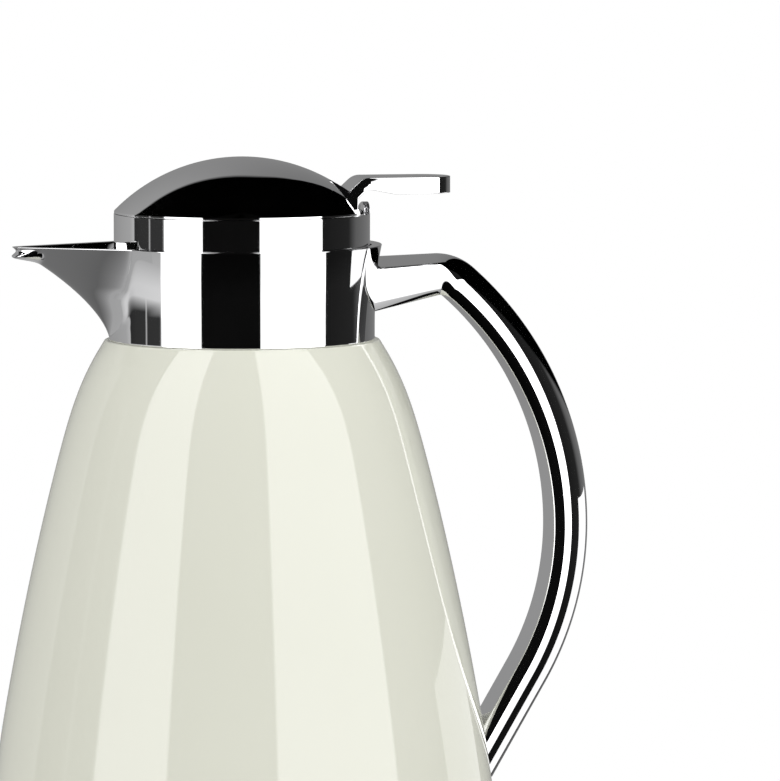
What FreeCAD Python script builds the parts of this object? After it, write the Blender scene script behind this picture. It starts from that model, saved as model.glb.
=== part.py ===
import FreeCAD, Part
import math
import os

from FreeCAD import Vector

# A thermal jug: lacquered shell, glass flask, chrome spout collar and handle, and a chrome closure
# with a dome lid that a thumb lever tips open. Millimetres, +Z up, the base at Z 0, the spout at -X.

# Clearances
FIT = 0.3            # between neighbouring pieces
SEAT = 0.1           # between pieces that are clamped together on curved faces
RUN_FIT = 0.05       # a hole around the pin that turns in it
THREAD_FIT = 0.4     # between the closure's lugs and the ribs above them
SCREW_FIT = 0.1      # a hole around a screw

# Body shell
FOOT_STAND = 1.2
BASE_CAP_T = 3.0
SHELL_HEIGHT = 227.8
SHELL_WALL = 2.0
SHELL_BASE_R = 77.5
BELLY_R = 82.8
BELLY_RISE = 41.0
FLANK_R = 76.0
FLANK_DROP = 116.0
WAIST_R = 66.4
WAIST_DROP = 68.0
SHOULDER_R = 58.6
SHOULDER_DROP = 36.0
LIP_R = 50.6
LIP_DROP = 12.0
TOP_R = 44.0
NECK_FLANGE_T = 3.0
BASE_HOLE_R = 60.0

# Base
BASE_CAP_R = 75.5
SPIGOT_H = 4.0
SPIGOT_WALL = 2.0
FOOT_RING_R = 74.0
FOOT_RING_W = 5.0
FOOT_GROOVE = 1.5
BASE_BOSS_R = 4.0
BASE_BOSS_H = 10.0
BASE_SCREW_PITCH_R = 64.5
BASE_SCREW_COUNT = 3
HEAD_SINK = 1.6

# Screws
SCREW_R = 1.5
HEAD_R = 2.6
HEAD_H = 1.4

# Glass flask
FLASK_R = 63.0
FLASK_NECK_R = 32.0
GLASS_T = 2.0
VACUUM_GAP = 4.0
FLASK_FLOOR_RISE = 11.0
FLASK_FLOOR_CORNER = 40.0
FLASK_SHOULDER_DROP = 80.0
FLASK_MOUTH_DROP = 11.0
CUSHION_R = 32.0
CUSHION_HOLE_R = 10.0
CUSHION_H = 20.0

# Neck
SLEEVE_R = 33.0
THREAD_BORE_R = 30.3
SEAL_BORE_R = 28.5
SEAL_BORE_H = 11.0
SLEEVE_FLANGE_T = 2.0
NECK_SEAL_T = 3.0
NECK_SEAL_BORE_R = 25.0
LOCK_RING_R = 37.0
LOCK_RING_H = 6.0

# Thread between sleeve and closure
THREAD_STARTS = 3
THREAD_LEAD = 18.0
RIB_DEPTH = 1.9
RIB_H = 2.0
RIB_SPAN = 80.0
RIB_LEAD_IN = 10.0
RIB_RISE = 16.0
LUG_SPAN = 30.0
LUG_H = 2.0
THREAD_STATIONS = 6

# Spout collar
COLLAR_H = 30.5
COLLAR_BASE_R = 42.5
COLLAR_TOP_R = 44.8
COLLAR_BORE_R = 41.5
COLLAR_FLOOR_H = 18.0
COLLAR_FLOOR_T = 2.5
COLLAR_SKIRT_WALL = 2.5
COLLAR_TUBE_WALL = 2.7
SPOUT_REACH = 74.1
SPOUT_LIP_H = 1.3
SPOUT_NOSE_R = 4.5
SPOUT_KEEL_R = 10.0
SPOUT_KEEL_STEP = 0.3
SPOUT_SWEEP = 1.65
SPOUT_NARROWING = 0.8
SPOUT_WAIST = 0.45
SPOUT_WAIST_H = 15.0
SPOUT_WALL = 2.6
SPOUT_STATIONS = 6

# Handle
HANDLE_T = 14.0
HANDLE_W = 20.0
HANDLE_CORNER = 4.5
HANDLE_ROOT_H = 17.6
HANDLE_ROOT_RISE = 17.1
HANDLE_TOP_RISE = 19.8
HANDLE_ELBOW_R = 12.0
HANDLE_UPPER_BOW_R = 105.0
HANDLE_LOWER_BOW_R = 96.0
HANDLE_REACH = 106.7
HANDLE_MID_DROP = 62.0
HANDLE_FOOT_TURN = 30.0
HANDLE_FOOT_SINK = 6.7
HANDLE_SCREW_RISE = 12.6
HANDLE_SCREW_GRIP = 6.0
HANDLE_FOOT_SCREW_DROP = 131.0

# Closure: stopper body
STOPPER_NECK_R = 27.5
POUR_BORE_R = 20.0
STOPPER_NECK_GAP = 2.0
STOPPER_FLOOR_T = 1.7
STOPPER_GAP = 1.5
STOPPER_WALL_T = 2.0
VALVE_SEAT_W = 2.5
VALVE_SEAT_H = 1.5
SLOT_COUNT = 5
SLOT_W = 7.0
SLOT_H = 6.0
SLOT_STEP = 16.0
GASKET_GROOVE = 1.5
GASKET_H = 3.0
CLOSURE_SCREW_ANGLES = (60.0, 120.0, 240.0, 300.0)
CLOSURE_SCREW_PITCH_R = 35.5
CLOSURE_BOSS_R = 3.0
CLOSURE_SCREW_LENGTH = 8.0

# Closure: lid ring with hinge
RING_R = 41.0
RING_WALL = 2.0
RING_H = 11.5
RING_SINK = 1.5
RING_SHELF_T = 2.0
RING_SHELF_BORE_R = 32.0
HINGE_X = 35.0
HINGE_BELOW_TOP = 1.5
PIN_R = 1.25
PIN_HALF_LENGTH = 12.2
EAR_R = 1.9
EAR_T = 3.0
KNUCKLE_R = 2.2
KNUCKLE_IN = 5.2
KNUCKLE_OUT = 9.0
DECK_T = 1.5
DECK_FRONT_X = 31.5
TAB_RISE = 3.2
TAB_ROUND_R = 12.0
TAB_T = 1.6

# Return spring
SPRING_WIRE_R = 0.4
SPRING_COIL_R = 1.85
SPRING_PITCH = 1.3
SPRING_TURNS = 6
SPRING_REST_LEG = 2.2
SPRING_PUSH_LEG = 2.6

# Lid dome
DOME_R = 40.7
DOME_WALL = 1.8
DOME_LAND = 0.5
DOME_CROWN_RISE = 17.2
DOME_CUT_AHEAD = 1.8
DOME_CUT_SLOPE = 60.0
LINER_IN = 3.7
LINER_T = 3.0
LINER_SINK = 1.8
STEM_R = 6.0
PLUG_R = 24.0
PLUG_T = 3.0
PLUG_GASKET_T = 1.5
PLUG_GROOVE = 1.0
PLUG_GASKET_IN = 1.2
PLUG_GASKET_OUT = 3.5
PLUG_SCREW_GRIP = 5.0

# Thumb lever, heights above the dome's lower edge
LEVER_W = 20.0
LEVER_TOP_RISE = 11.0
LEVER_BEND_X = 37.8
LEVER_NECK_SLOPE = 43.0
LEVER_NECK_T = 3.6
LEVER_REAR_X = 36.0
LEVER_WEDGE_RISE = 0.6
LEVER_END_X = 66.9
LEVER_TONGUE_X = 48.0
LEVER_TONGUE_T = 5.3
LEVER_CORNER_R = 9.4
LEVER_SCREW_Y = 5.5
LEVER_SCREW_UP = 3.6
LEVER_SCREW_GRIP = 3.4

# Levels worked out from the stack
SHELL_Z = FOOT_STAND + BASE_CAP_T
NECK_Z = SHELL_Z + SHELL_HEIGHT
FLOOR_Z = NECK_Z + COLLAR_FLOOR_H
RIM_Z = NECK_Z + COLLAR_H
MOUTH_Z = NECK_Z - FLASK_MOUTH_DROP
SLEEVE_Z = MOUTH_Z + NECK_SEAL_T
SLEEVE_TOP_Z = FLOOR_Z + SLEEVE_FLANGE_T
STOPPER_Z = SLEEVE_Z + STOPPER_NECK_GAP
STOPPER_FLOOR_Z = SLEEVE_TOP_Z + FIT
CHAMBER_Z = STOPPER_FLOOR_Z + STOPPER_FLOOR_T
SEAT_Z = CHAMBER_Z + VALVE_SEAT_H
RING_Z = RIM_Z - RING_SINK
RING_TOP_Z = RING_Z + RING_H
HINGE_Z = RING_TOP_Z - HINGE_BELOW_TOP
DOME_Z = RING_TOP_Z + FIT
DOME_TOP_Z = DOME_Z + DOME_LAND + DOME_CROWN_RISE
LINER_Z = DOME_Z - LINER_SINK
PLUG_Z = SEAT_Z + FIT + PLUG_GASKET_T - PLUG_GROOVE

# Radii worked out from their neighbours
STOPPER_R = COLLAR_BORE_R - STOPPER_GAP
HOLE_R = SCREW_R + SCREW_FIT

X_AXIS = Vector(1, 0, 0)
Y_AXIS = Vector(0, 1, 0)
Z_AXIS = Vector(0, 0, 1)


def rod(radius, start, direction, length):
    """A round bar from a point along a direction."""
    return Part.makeCylinder(radius, length, start, direction)


def disc(radius, low, high):
    """A disc on the jug's axis between two levels."""
    return rod(radius, Vector(0, 0, low), Z_AXIS, high - low)


def ring(inner_r, outer_r, low, high):
    """A ring on the jug's axis between two levels."""
    return disc(outer_r, low, high).cut(disc(inner_r, low, high))


def block(low, high):
    """A box between two corners."""
    return Part.makeBox(high.x - low.x, high.y - low.y, high.z - low.z, low)


def revolve(edges):
    """The solid that a closed outline in the XZ plane sweeps around the jug's axis."""
    face = Part.Face(Part.Wire(Part.__sortEdges__(edges)))
    return face.revolve(Vector(0, 0, 0), Z_AXIS, 360)


def line(start, end):
    return Part.makeLine(start, end)


def arc(start, middle, end):
    return Part.Arc(start, middle, end).toShape()


def prism(points, half_width):
    """A polygon in the XZ plane, given as (x, z) pairs, drawn out to both sides of the XZ plane."""
    corners = [Vector(x, -half_width, z) for x, z in points]
    face = Part.Face(Part.makePolygon(corners + corners[:1]))
    return face.extrude(Vector(0, 2 * half_width, 0))


def around(shape, angles):
    """Copies of a shape turned about the jug's axis."""
    copies = []
    for angle in angles:
        copy = shape.copy()
        copy.rotate(Vector(0, 0, 0), Z_AXIS, angle)
        copies.append(copy)
    return copies


def screw(seat, direction, grip):
    """A screw whose head stands on the seat and whose shank runs along the direction."""
    head = rod(HEAD_R, seat - direction * HEAD_H, direction, HEAD_H)
    return head.fuse(rod(SCREW_R, seat, direction, grip)).removeSplitter()


def screw_hole(seat, direction, grip):
    return rod(HOLE_R, seat, direction, grip + FIT)


def even_angles(count):
    return [360.0 * index / count for index in range(count)]


# Body shell


def shell_curve(offset):
    """The shell's side as a spline through a few points, moved along its normals by offset."""
    points = [
        Vector(SHELL_BASE_R, 0, SHELL_Z),
        Vector(BELLY_R, 0, SHELL_Z + BELLY_RISE),
        Vector(FLANK_R, 0, NECK_Z - FLANK_DROP),
        Vector(WAIST_R, 0, NECK_Z - WAIST_DROP),
        Vector(SHOULDER_R, 0, NECK_Z - SHOULDER_DROP),
        Vector(LIP_R, 0, NECK_Z - LIP_DROP),
        Vector(TOP_R, 0, NECK_Z),
    ]
    curve = Part.BSplineCurve()
    curve.interpolate(points)
    if offset == 0:
        return curve
    moved = [point + shell_normal(curve, point) * offset for point in points]
    side = Part.BSplineCurve()
    side.interpolate(moved)
    return side


def shell_normal(curve, point):
    """The outward normal of the shell's side at a point of its curve."""
    tangent = curve.tangent(curve.parameter(point))[0]
    return Vector(tangent.z, 0, -tangent.x).normalize()


def shell_solid(offset):
    """The solid inside the shell's side, grown by offset."""
    curve = shell_curve(offset)
    low = curve.StartPoint
    high = curve.EndPoint
    foot = Vector(0, 0, low.z)
    top = Vector(0, 0, high.z)
    return revolve([line(foot, low), curve.toShape(), line(high, top), line(top, foot)])


def shell_point(level):
    """The point of the shell's side at a level, with its outward normal."""
    curve = shell_curve(0)
    section = Part.makeLine(Vector(0, 0, level), Vector(2 * BELLY_R, 0, level))
    point = curve.toShape().distToShape(section)[1][0][0]
    return point, shell_normal(curve, point)


def base_screw_places():
    return around(Part.Vertex(BASE_SCREW_PITCH_R, 0, 0), even_angles(BASE_SCREW_COUNT))


def handle_foot_screw():
    """Seat, direction and grip of the screw that holds the handle's foot from inside the shell."""
    point, normal = shell_point(NECK_Z - HANDLE_FOOT_SCREW_DROP)
    return point - normal * (SHELL_WALL + SEAT), normal, SHELL_WALL + SEAT + HANDLE_SCREW_GRIP


def body_shell():
    hollow = shell_solid(-SHELL_WALL)
    hollow = hollow.common(disc(2 * BELLY_R, SHELL_Z + SHELL_WALL, NECK_Z - NECK_FLANGE_T))
    shell = shell_solid(0).cut(hollow)
    shell = shell.cut(disc(BASE_HOLE_R, SHELL_Z, SHELL_Z + SHELL_WALL))
    shell = shell.cut(disc(SLEEVE_R + FIT, NECK_Z - NECK_FLANGE_T, NECK_Z))
    for place in base_screw_places():
        foot = Vector(place.X, place.Y, SHELL_Z)
        shell = shell.fuse(rod(BASE_BOSS_R, foot, Z_AXIS, BASE_BOSS_H))
        shell = shell.cut(rod(HOLE_R, foot, Z_AXIS, BASE_BOSS_H))
    return shell.cut(screw_hole(*handle_foot_screw())).removeSplitter()


# Base


def base_cap():
    cap = disc(BASE_CAP_R, FOOT_STAND, SHELL_Z)
    spigot_r = BASE_HOLE_R - FIT
    cap = cap.fuse(ring(spigot_r - SPIGOT_WALL, spigot_r, SHELL_Z, SHELL_Z + SPIGOT_H))
    groove_in = FOOT_RING_R - FOOT_RING_W - SEAT
    cap = cap.cut(ring(groove_in, FOOT_RING_R + SEAT, FOOT_STAND, FOOT_STAND + FOOT_GROOVE))
    for place in base_screw_places():
        foot = Vector(place.X, place.Y, FOOT_STAND)
        cap = cap.cut(rod(HEAD_R + FIT, foot, Z_AXIS, HEAD_SINK))
        cap = cap.cut(rod(HOLE_R, foot, Z_AXIS, BASE_CAP_T))
    return cap.removeSplitter()


def foot_ring():
    return ring(FOOT_RING_R - FOOT_RING_W, FOOT_RING_R, 0, FOOT_STAND + FOOT_GROOVE)


def base_screws():
    grip = BASE_CAP_T - HEAD_SINK + BASE_BOSS_H - FIT
    places = base_screw_places()
    return [screw(Vector(place.X, place.Y, FOOT_STAND + HEAD_SINK), Z_AXIS, grip) for place in places]


# Glass flask


def flask_solid(side_r, neck_r, floor_z, top_z, corner):
    """A bottle shape: floor, rounded corner, side, quarter-round shoulder and neck."""
    shoulder_z = NECK_Z - FLASK_SHOULDER_DROP
    shoulder_r = side_r - neck_r
    turn = math.sqrt(0.5)
    points = {
        "floor": Vector(0, 0, floor_z),
        "corner_in": Vector(side_r - corner, 0, floor_z),
        "corner_mid": Vector(side_r - corner + corner * turn, 0, floor_z + corner - corner * turn),
        "corner_out": Vector(side_r, 0, floor_z + corner),
        "side": Vector(side_r, 0, shoulder_z),
        "shoulder_mid": Vector(neck_r + shoulder_r * turn, 0, shoulder_z + shoulder_r * turn),
        "neck": Vector(neck_r, 0, shoulder_z + shoulder_r),
        "mouth": Vector(neck_r, 0, top_z),
        "top": Vector(0, 0, top_z),
    }
    return revolve([
        line(points["floor"], points["corner_in"]),
        arc(points["corner_in"], points["corner_mid"], points["corner_out"]),
        line(points["corner_out"], points["side"]),
        arc(points["side"], points["shoulder_mid"], points["neck"]),
        line(points["neck"], points["mouth"]),
        line(points["mouth"], points["top"]),
        line(points["top"], points["floor"]),
    ])


def flask_layer(depth, top_z):
    """The flask's bottle shape, sunk by depth all round."""
    floor_z = SHELL_Z + FLASK_FLOOR_RISE + depth
    corner = FLASK_FLOOR_CORNER - depth
    return flask_solid(FLASK_R - depth, FLASK_NECK_R - depth, floor_z, top_z, corner)


def flask_outer():
    return flask_layer(0, MOUTH_Z).cut(flask_layer(GLASS_T, MOUTH_Z))


def flask_inner():
    outside = GLASS_T + VACUUM_GAP
    wall = flask_layer(outside, MOUTH_Z).cut(flask_layer(outside + GLASS_T, MOUTH_Z))
    bore_r = FLASK_NECK_R - outside - GLASS_T
    lip = ring(bore_r, FLASK_NECK_R - GLASS_T - SEAT, MOUTH_Z - GLASS_T, MOUTH_Z)
    return wall.fuse(lip).removeSplitter()


def flask_cushion():
    cup = ring(CUSHION_HOLE_R, CUSHION_R, SHELL_Z, SHELL_Z + CUSHION_H)
    return cup.cut(flask_layer(-SEAT, MOUTH_Z))


# Neck


def neck_seal():
    return ring(NECK_SEAL_BORE_R, FLASK_NECK_R, MOUTH_Z, SLEEVE_Z)


def neck_lock_ring():
    top = NECK_Z - NECK_FLANGE_T
    return ring(SLEEVE_R + FIT, LOCK_RING_R, top - LOCK_RING_H, top)


def thread_rib(inner_r, outer_r, start, span, under, height):
    """A stretch of thread: a rectangle carried up the closure's screw line."""
    sections = []
    for index in range(THREAD_STATIONS + 1):
        angle = start + span * index / THREAD_STATIONS
        low = under + THREAD_LEAD * angle / 360.0
        outward = Vector(math.cos(math.radians(angle)), math.sin(math.radians(angle)), 0)
        corners = [
            outward * inner_r + Z_AXIS * low,
            outward * outer_r + Z_AXIS * low,
            outward * outer_r + Z_AXIS * (low + height),
            outward * inner_r + Z_AXIS * (low + height),
        ]
        sections.append(Part.makePolygon(corners + corners[:1]))
    return Part.makeLoft(sections, True, False)


def neck_sleeve():
    barrel = ring(THREAD_BORE_R, SLEEVE_R, SLEEVE_Z, SLEEVE_TOP_Z)
    land = ring(SEAL_BORE_R, THREAD_BORE_R, SLEEVE_Z, SLEEVE_Z + SEAL_BORE_H)
    flange = ring(THREAD_BORE_R, COLLAR_BORE_R - STOPPER_GAP / 2, FLOOR_Z, SLEEVE_TOP_Z)
    sleeve = barrel.fuse(land).fuse(flange)
    root = (THREAD_BORE_R + SLEEVE_R) / 2
    under = SLEEVE_Z + RIB_RISE
    rib = thread_rib(THREAD_BORE_R - RIB_DEPTH, root, -RIB_LEAD_IN, RIB_SPAN, under, RIB_H)
    for copy in around(rib, even_angles(THREAD_STARTS)):
        sleeve = sleeve.fuse(copy)
    return sleeve.removeSplitter()


# Spout collar


def collar_r(height):
    """Radius of the collar's cone at a height above the neck."""
    return COLLAR_BASE_R + (COLLAR_TOP_R - COLLAR_BASE_R) * height / COLLAR_H


def spout_nose(height):
    """Nose radius and centre distance of the spout's section at a height above the neck."""
    lip = COLLAR_H - SPOUT_LIP_H
    share = min(height / lip, 1.0)
    nose_r = SPOUT_KEEL_R - (SPOUT_KEEL_R - SPOUT_NOSE_R) * share ** SPOUT_NARROWING
    start = collar_r(min(height, lip)) + SPOUT_KEEL_STEP
    reach = SPOUT_REACH - collar_r(lip) - SPOUT_KEEL_STEP
    return nose_r, start + reach * share ** SPOUT_SWEEP - nose_r


def spout_flank(height):
    """Half angles of the spout about -X at a height: where its flank leaves the collar, and the flank's normal.
    A taut flank touches the collar and the nose. The waist lets it leave the collar nearer to the nose."""
    nose_r, distance = spout_nose(height)
    taut = math.acos((collar_r(height) - nose_r) / distance)
    root = taut * (1 - SPOUT_WAIST * min(height / SPOUT_WAIST_H, 1.0))
    ahead = collar_r(height) * math.cos(root) - distance
    aside = collar_r(height) * math.sin(root)
    return root, math.atan2(aside, ahead) - math.acos(nose_r / math.hypot(ahead, aside))


def teardrop(level, main_r, nose_r, distance, root, turn):
    """A round section with a nose towards -X and straight flanks from the angle root to the angle turn."""
    def on_main(angle):
        return Vector(main_r * math.cos(angle), main_r * math.sin(angle), level)

    def on_nose(angle):
        return Vector(nose_r * math.cos(angle) - distance, nose_r * math.sin(angle), level)

    left, right = math.pi - root, math.pi + root
    near, far = math.pi - turn, math.pi + turn
    stops = [right, 1.5 * math.pi, 2 * math.pi, 2.5 * math.pi, left + 2 * math.pi]
    edges = [line(on_main(left), on_nose(near))]
    edges.append(arc(on_nose(near), on_nose(math.pi), on_nose(far)))
    edges.append(line(on_nose(far), on_main(right)))
    for first, last in zip(stops, stops[1:]):
        edges.append(arc(on_main(first), on_main((first + last) / 2), on_main(last)))
    return Part.Wire(edges)


def collar_solid(low, top, wall, bore_r):
    """The collar with its spout between two heights, or its hollow where a bore radius is given."""
    lip = COLLAR_H - SPOUT_LIP_H

    def section(height):
        nose_r, distance = spout_nose(height)
        root, turn = spout_flank(height)
        if bore_r:
            root = turn - math.acos((nose_r + distance * math.cos(turn) - wall) / bore_r)
        return teardrop(NECK_Z + height, bore_r or collar_r(height), nose_r - wall, distance, root, turn)

    step = (lip - low) / SPOUT_STATIONS
    heights = [low + step * index for index in range(SPOUT_STATIONS + 1)]
    flare = Part.makeLoft([section(height) for height in heights], True, False)
    band = Part.makeLoft([section(lip), section(top)], True, True)
    return flare.fuse(band).removeSplitter()


def handle_root_screw():
    """Seat, direction and grip of the screw that holds the handle's root from inside the collar."""
    wall_r = collar_r(HANDLE_SCREW_RISE - HEAD_R) - COLLAR_SKIRT_WALL
    seat = Vector(wall_r - SEAT, 0, NECK_Z + HANDLE_SCREW_RISE)
    return seat, X_AXIS, COLLAR_SKIRT_WALL + HANDLE_SCREW_GRIP


def spout_collar():
    collar = collar_solid(0, COLLAR_H, 0, 0)
    collar = collar.cut(collar_solid(COLLAR_FLOOR_H, COLLAR_H + FIT, SPOUT_WALL, COLLAR_BORE_R))
    bore_r = SLEEVE_R + FIT
    collar = collar.cut(disc(bore_r, NECK_Z, FLOOR_Z))
    pocket_top = COLLAR_FLOOR_H - COLLAR_FLOOR_T
    pocket = [
        Vector(bore_r + COLLAR_TUBE_WALL, 0, NECK_Z),
        Vector(collar_r(0) - COLLAR_SKIRT_WALL, 0, NECK_Z),
        Vector(collar_r(pocket_top) - COLLAR_SKIRT_WALL, 0, NECK_Z + pocket_top),
        Vector(bore_r + COLLAR_TUBE_WALL, 0, NECK_Z + pocket_top),
    ]
    collar = collar.cut(revolve(Part.makePolygon(pocket + pocket[:1]).Edges))
    seat, direction, grip = handle_root_screw()
    collar = collar.cut(rod(HEAD_R + FIT, Vector(0, 0, seat.z), direction, bore_r + COLLAR_TUBE_WALL))
    return collar.cut(screw_hole(seat, direction, grip)).removeSplitter()


# Handle


def handle_section(x, level, height):
    """A rounded rectangle across the handle, in the plane at x."""
    half_w = HANDLE_W / 2
    half_h = height / 2
    corner = min(HANDLE_CORNER, 0.45 * HANDLE_W, 0.45 * height)
    inset = corner * (1 - math.sqrt(0.5))
    edges = []
    for side_y, side_z in ((1, 1), (-1, 1), (-1, -1), (1, -1)):
        first = Vector(x, side_y * half_w, level + side_z * (half_h - corner))
        middle = Vector(x, side_y * (half_w - inset), level + side_z * (half_h - inset))
        last = Vector(x, side_y * (half_w - corner), level + side_z * half_h)
        if side_y * side_z < 0:
            first, last = last, first
        edges.append(arc(first, middle, last))
    for index in range(4):
        here = edges[2 * index].lastVertex().Point
        there = edges[(2 * index + 1) % len(edges)].firstVertex().Point
        edges.insert(2 * index + 1, line(here, there))
    return Part.Wire(edges)


def handle_path():
    """Elbow, upper bow, lower bow and foot of the handle's middle line, each tangent to the next."""
    middle_z = NECK_Z - HANDLE_MID_DROP
    top_z = NECK_Z + HANDLE_TOP_RISE
    upper = Vector(HANDLE_REACH - HANDLE_UPPER_BOW_R, 0, middle_z)
    lower = Vector(HANDLE_REACH - HANDLE_LOWER_BOW_R, 0, middle_z)
    rise = top_z - HANDLE_ELBOW_R - middle_z
    run = math.sqrt((HANDLE_UPPER_BOW_R - HANDLE_ELBOW_R) ** 2 - rise ** 2)
    elbow = Vector(upper.x + run, 0, top_z - HANDLE_ELBOW_R)
    bow_turn = math.atan2(rise, run)
    foot_turn = -math.radians(HANDLE_FOOT_TURN)

    def on(centre, radius, angle):
        return centre + Vector(radius * math.cos(angle), 0, radius * math.sin(angle))

    start = on(elbow, HANDLE_ELBOW_R, math.pi / 2)
    bend = on(elbow, HANDLE_ELBOW_R, bow_turn)
    outermost = on(upper, HANDLE_UPPER_BOW_R, 0)
    foot = on(lower, HANDLE_LOWER_BOW_R, foot_turn)
    heading = Vector(math.sin(foot_turn), 0, -math.cos(foot_turn))
    foot_run = (BELLY_R - HANDLE_FOOT_SINK - foot.x) / heading.x
    edges = [
        arc(start, on(elbow, HANDLE_ELBOW_R, (math.pi / 2 + bow_turn) / 2), bend),
        arc(bend, on(upper, HANDLE_UPPER_BOW_R, bow_turn / 2), outermost),
        arc(outermost, on(lower, HANDLE_LOWER_BOW_R, foot_turn / 2), foot),
        line(foot, foot + heading * foot_run),
    ]
    return start, Part.Wire(edges)


def handle():
    start, path = handle_path()
    root_x = collar_r(0) - COLLAR_SKIRT_WALL
    root = handle_section(root_x, NECK_Z + HANDLE_ROOT_RISE, HANDLE_ROOT_H)
    grip = handle_section(start.x, start.z, HANDLE_T)
    bow = path.makePipeShell([grip], True, False)
    bow = bow.fuse(Part.makeLoft([root, grip], True, True))
    cone = Part.makeCone(collar_r(0) + SEAT, collar_r(COLLAR_H) + SEAT, COLLAR_H, Vector(0, 0, NECK_Z))
    bow = bow.cut(cone).cut(shell_solid(SEAT))
    bow = bow.cut(screw_hole(*handle_root_screw())).cut(screw_hole(*handle_foot_screw()))
    return bow.removeSplitter()


def handle_screws():
    return [screw(*handle_root_screw()), screw(*handle_foot_screw())]


# Stopper body


def gasket_low():
    return STOPPER_Z + GASKET_GROOVE


def closure_screw_places():
    return around(Part.Vertex(CLOSURE_SCREW_PITCH_R, 0, 0), CLOSURE_SCREW_ANGLES)


def stopper_body():
    body = disc(STOPPER_NECK_R, STOPPER_Z, CHAMBER_Z)
    body = body.fuse(disc(STOPPER_R, STOPPER_FLOOR_Z, CHAMBER_Z))
    body = body.fuse(ring(STOPPER_R - STOPPER_WALL_T, STOPPER_R, STOPPER_FLOOR_Z, RING_Z))
    body = body.fuse(disc(POUR_BORE_R + VALVE_SEAT_W, CHAMBER_Z, SEAT_Z))
    for place in closure_screw_places():
        foot = Vector(place.X, place.Y, STOPPER_FLOOR_Z)
        body = body.fuse(rod(CLOSURE_BOSS_R, foot, Z_AXIS, RING_Z - STOPPER_FLOOR_Z))
    body = body.cut(disc(POUR_BORE_R, STOPPER_Z, SEAT_Z))
    low = gasket_low()
    body = body.cut(ring(STOPPER_NECK_R - GASKET_GROOVE, SEAL_BORE_R, low, low + GASKET_H))
    for place in closure_screw_places():
        top = Vector(place.X, place.Y, RING_Z)
        body = body.cut(rod(HOLE_R, top, Z_AXIS * -1, CLOSURE_SCREW_LENGTH))
    slot_low = CHAMBER_Z + FIT
    slot = block(
        Vector(STOPPER_R - 2 * STOPPER_WALL_T, -SLOT_W / 2, slot_low),
        Vector(STOPPER_R + STOPPER_WALL_T, SLOT_W / 2, slot_low + SLOT_H),
    )
    middle = (SLOT_COUNT - 1) / 2
    for copy in around(slot, [180 + SLOT_STEP * (index - middle) for index in range(SLOT_COUNT)]):
        body = body.cut(copy)
    under = SLEEVE_Z + RIB_RISE - THREAD_FIT - LUG_H
    root = STOPPER_NECK_R - GASKET_GROOVE
    lug = thread_rib(root, THREAD_BORE_R - THREAD_FIT, 0, LUG_SPAN, under, LUG_H)
    for copy in around(lug, even_angles(THREAD_STARTS)):
        body = body.fuse(copy)
    return body.removeSplitter()


def closure_gasket():
    low = gasket_low() + SEAT
    return ring(STOPPER_NECK_R - GASKET_GROOVE + SEAT, SEAL_BORE_R - FIT, low, low + GASKET_H - 2 * SEAT)


def closure_screws():
    seat = RING_Z + RING_SHELF_T
    grip = RING_SHELF_T + CLOSURE_SCREW_LENGTH - FIT
    return [screw(Vector(place.X, place.Y, seat), Z_AXIS * -1, grip) for place in closure_screw_places()]


# Lid ring and hinge


def ear_inner_y():
    return KNUCKLE_OUT + FIT + SEAT


def lid_ring():
    inner_r = RING_R - RING_WALL
    body = ring(inner_r, RING_R, RING_Z, RING_TOP_Z)
    shelf_top = RING_Z + RING_SHELF_T
    body = body.fuse(ring(RING_SHELF_BORE_R, RING_R - RING_WALL / 2, RING_Z, shelf_top))
    deck_top = HINGE_Z - SPRING_COIL_R - SPRING_WIRE_R - FIT
    deck = disc(RING_R - RING_WALL / 2, deck_top - DECK_T, deck_top)
    deck = deck.common(block(Vector(DECK_FRONT_X, -RING_R, RING_Z), Vector(RING_R, RING_R, RING_TOP_Z)))
    body = body.fuse(deck)
    tab = ring(RING_R - TAB_T, RING_R, RING_Z + RING_SHELF_T, RING_TOP_Z + TAB_RISE)
    round_z = RING_TOP_Z + TAB_RISE - TAB_ROUND_R
    body = body.fuse(tab.common(rod(TAB_ROUND_R, Vector(HINGE_X, 0, round_z), X_AXIS, RING_R)))
    low_y = ear_inner_y()
    for y in (low_y, -low_y - EAR_T):
        plate = block(
            Vector(HINGE_X - EAR_R, y, deck_top - DECK_T / 2),
            Vector(inner_r - FIT, y + EAR_T, HINGE_Z),
        )
        top = rod(EAR_R, Vector(HINGE_X, y, HINGE_Z), Y_AXIS, EAR_T)
        body = body.fuse(plate.common(disc(RING_R - RING_WALL / 2, RING_Z, RING_TOP_Z))).fuse(top)
    reach_y = low_y + EAR_T
    body = body.cut(rod(PIN_R + RUN_FIT, Vector(HINGE_X, -reach_y, HINGE_Z), Y_AXIS, 2 * reach_y))
    for place in closure_screw_places():
        body = body.cut(rod(HOLE_R, Vector(place.X, place.Y, RING_Z), Z_AXIS, RING_SHELF_T))
    return body.removeSplitter()


def hinge_pin():
    return rod(PIN_R, Vector(HINGE_X, -PIN_HALF_LENGTH, HINGE_Z), Y_AXIS, 2 * PIN_HALF_LENGTH)


def biarc(start, start_way, end, end_way):
    """Two arcs that join two points and touch a direction at each."""
    chord = end - start
    ways = start_way + end_way
    square = ways.dot(ways) - 4
    across = chord.dot(ways)
    reach = (across - math.sqrt(across ** 2 - square * chord.dot(chord))) / square
    first = start + start_way * reach
    second = end - end_way * reach
    joint = (first + second) * 0.5

    def bend(low, corner, high):
        weight = (high - low).Length / 2 / (corner - low).Length
        return arc(low, (low + corner * (2 * weight) + high) * (1 / (2 + 2 * weight)), high)

    return [bend(start, first, joint), bend(joint, second, end)]


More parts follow.
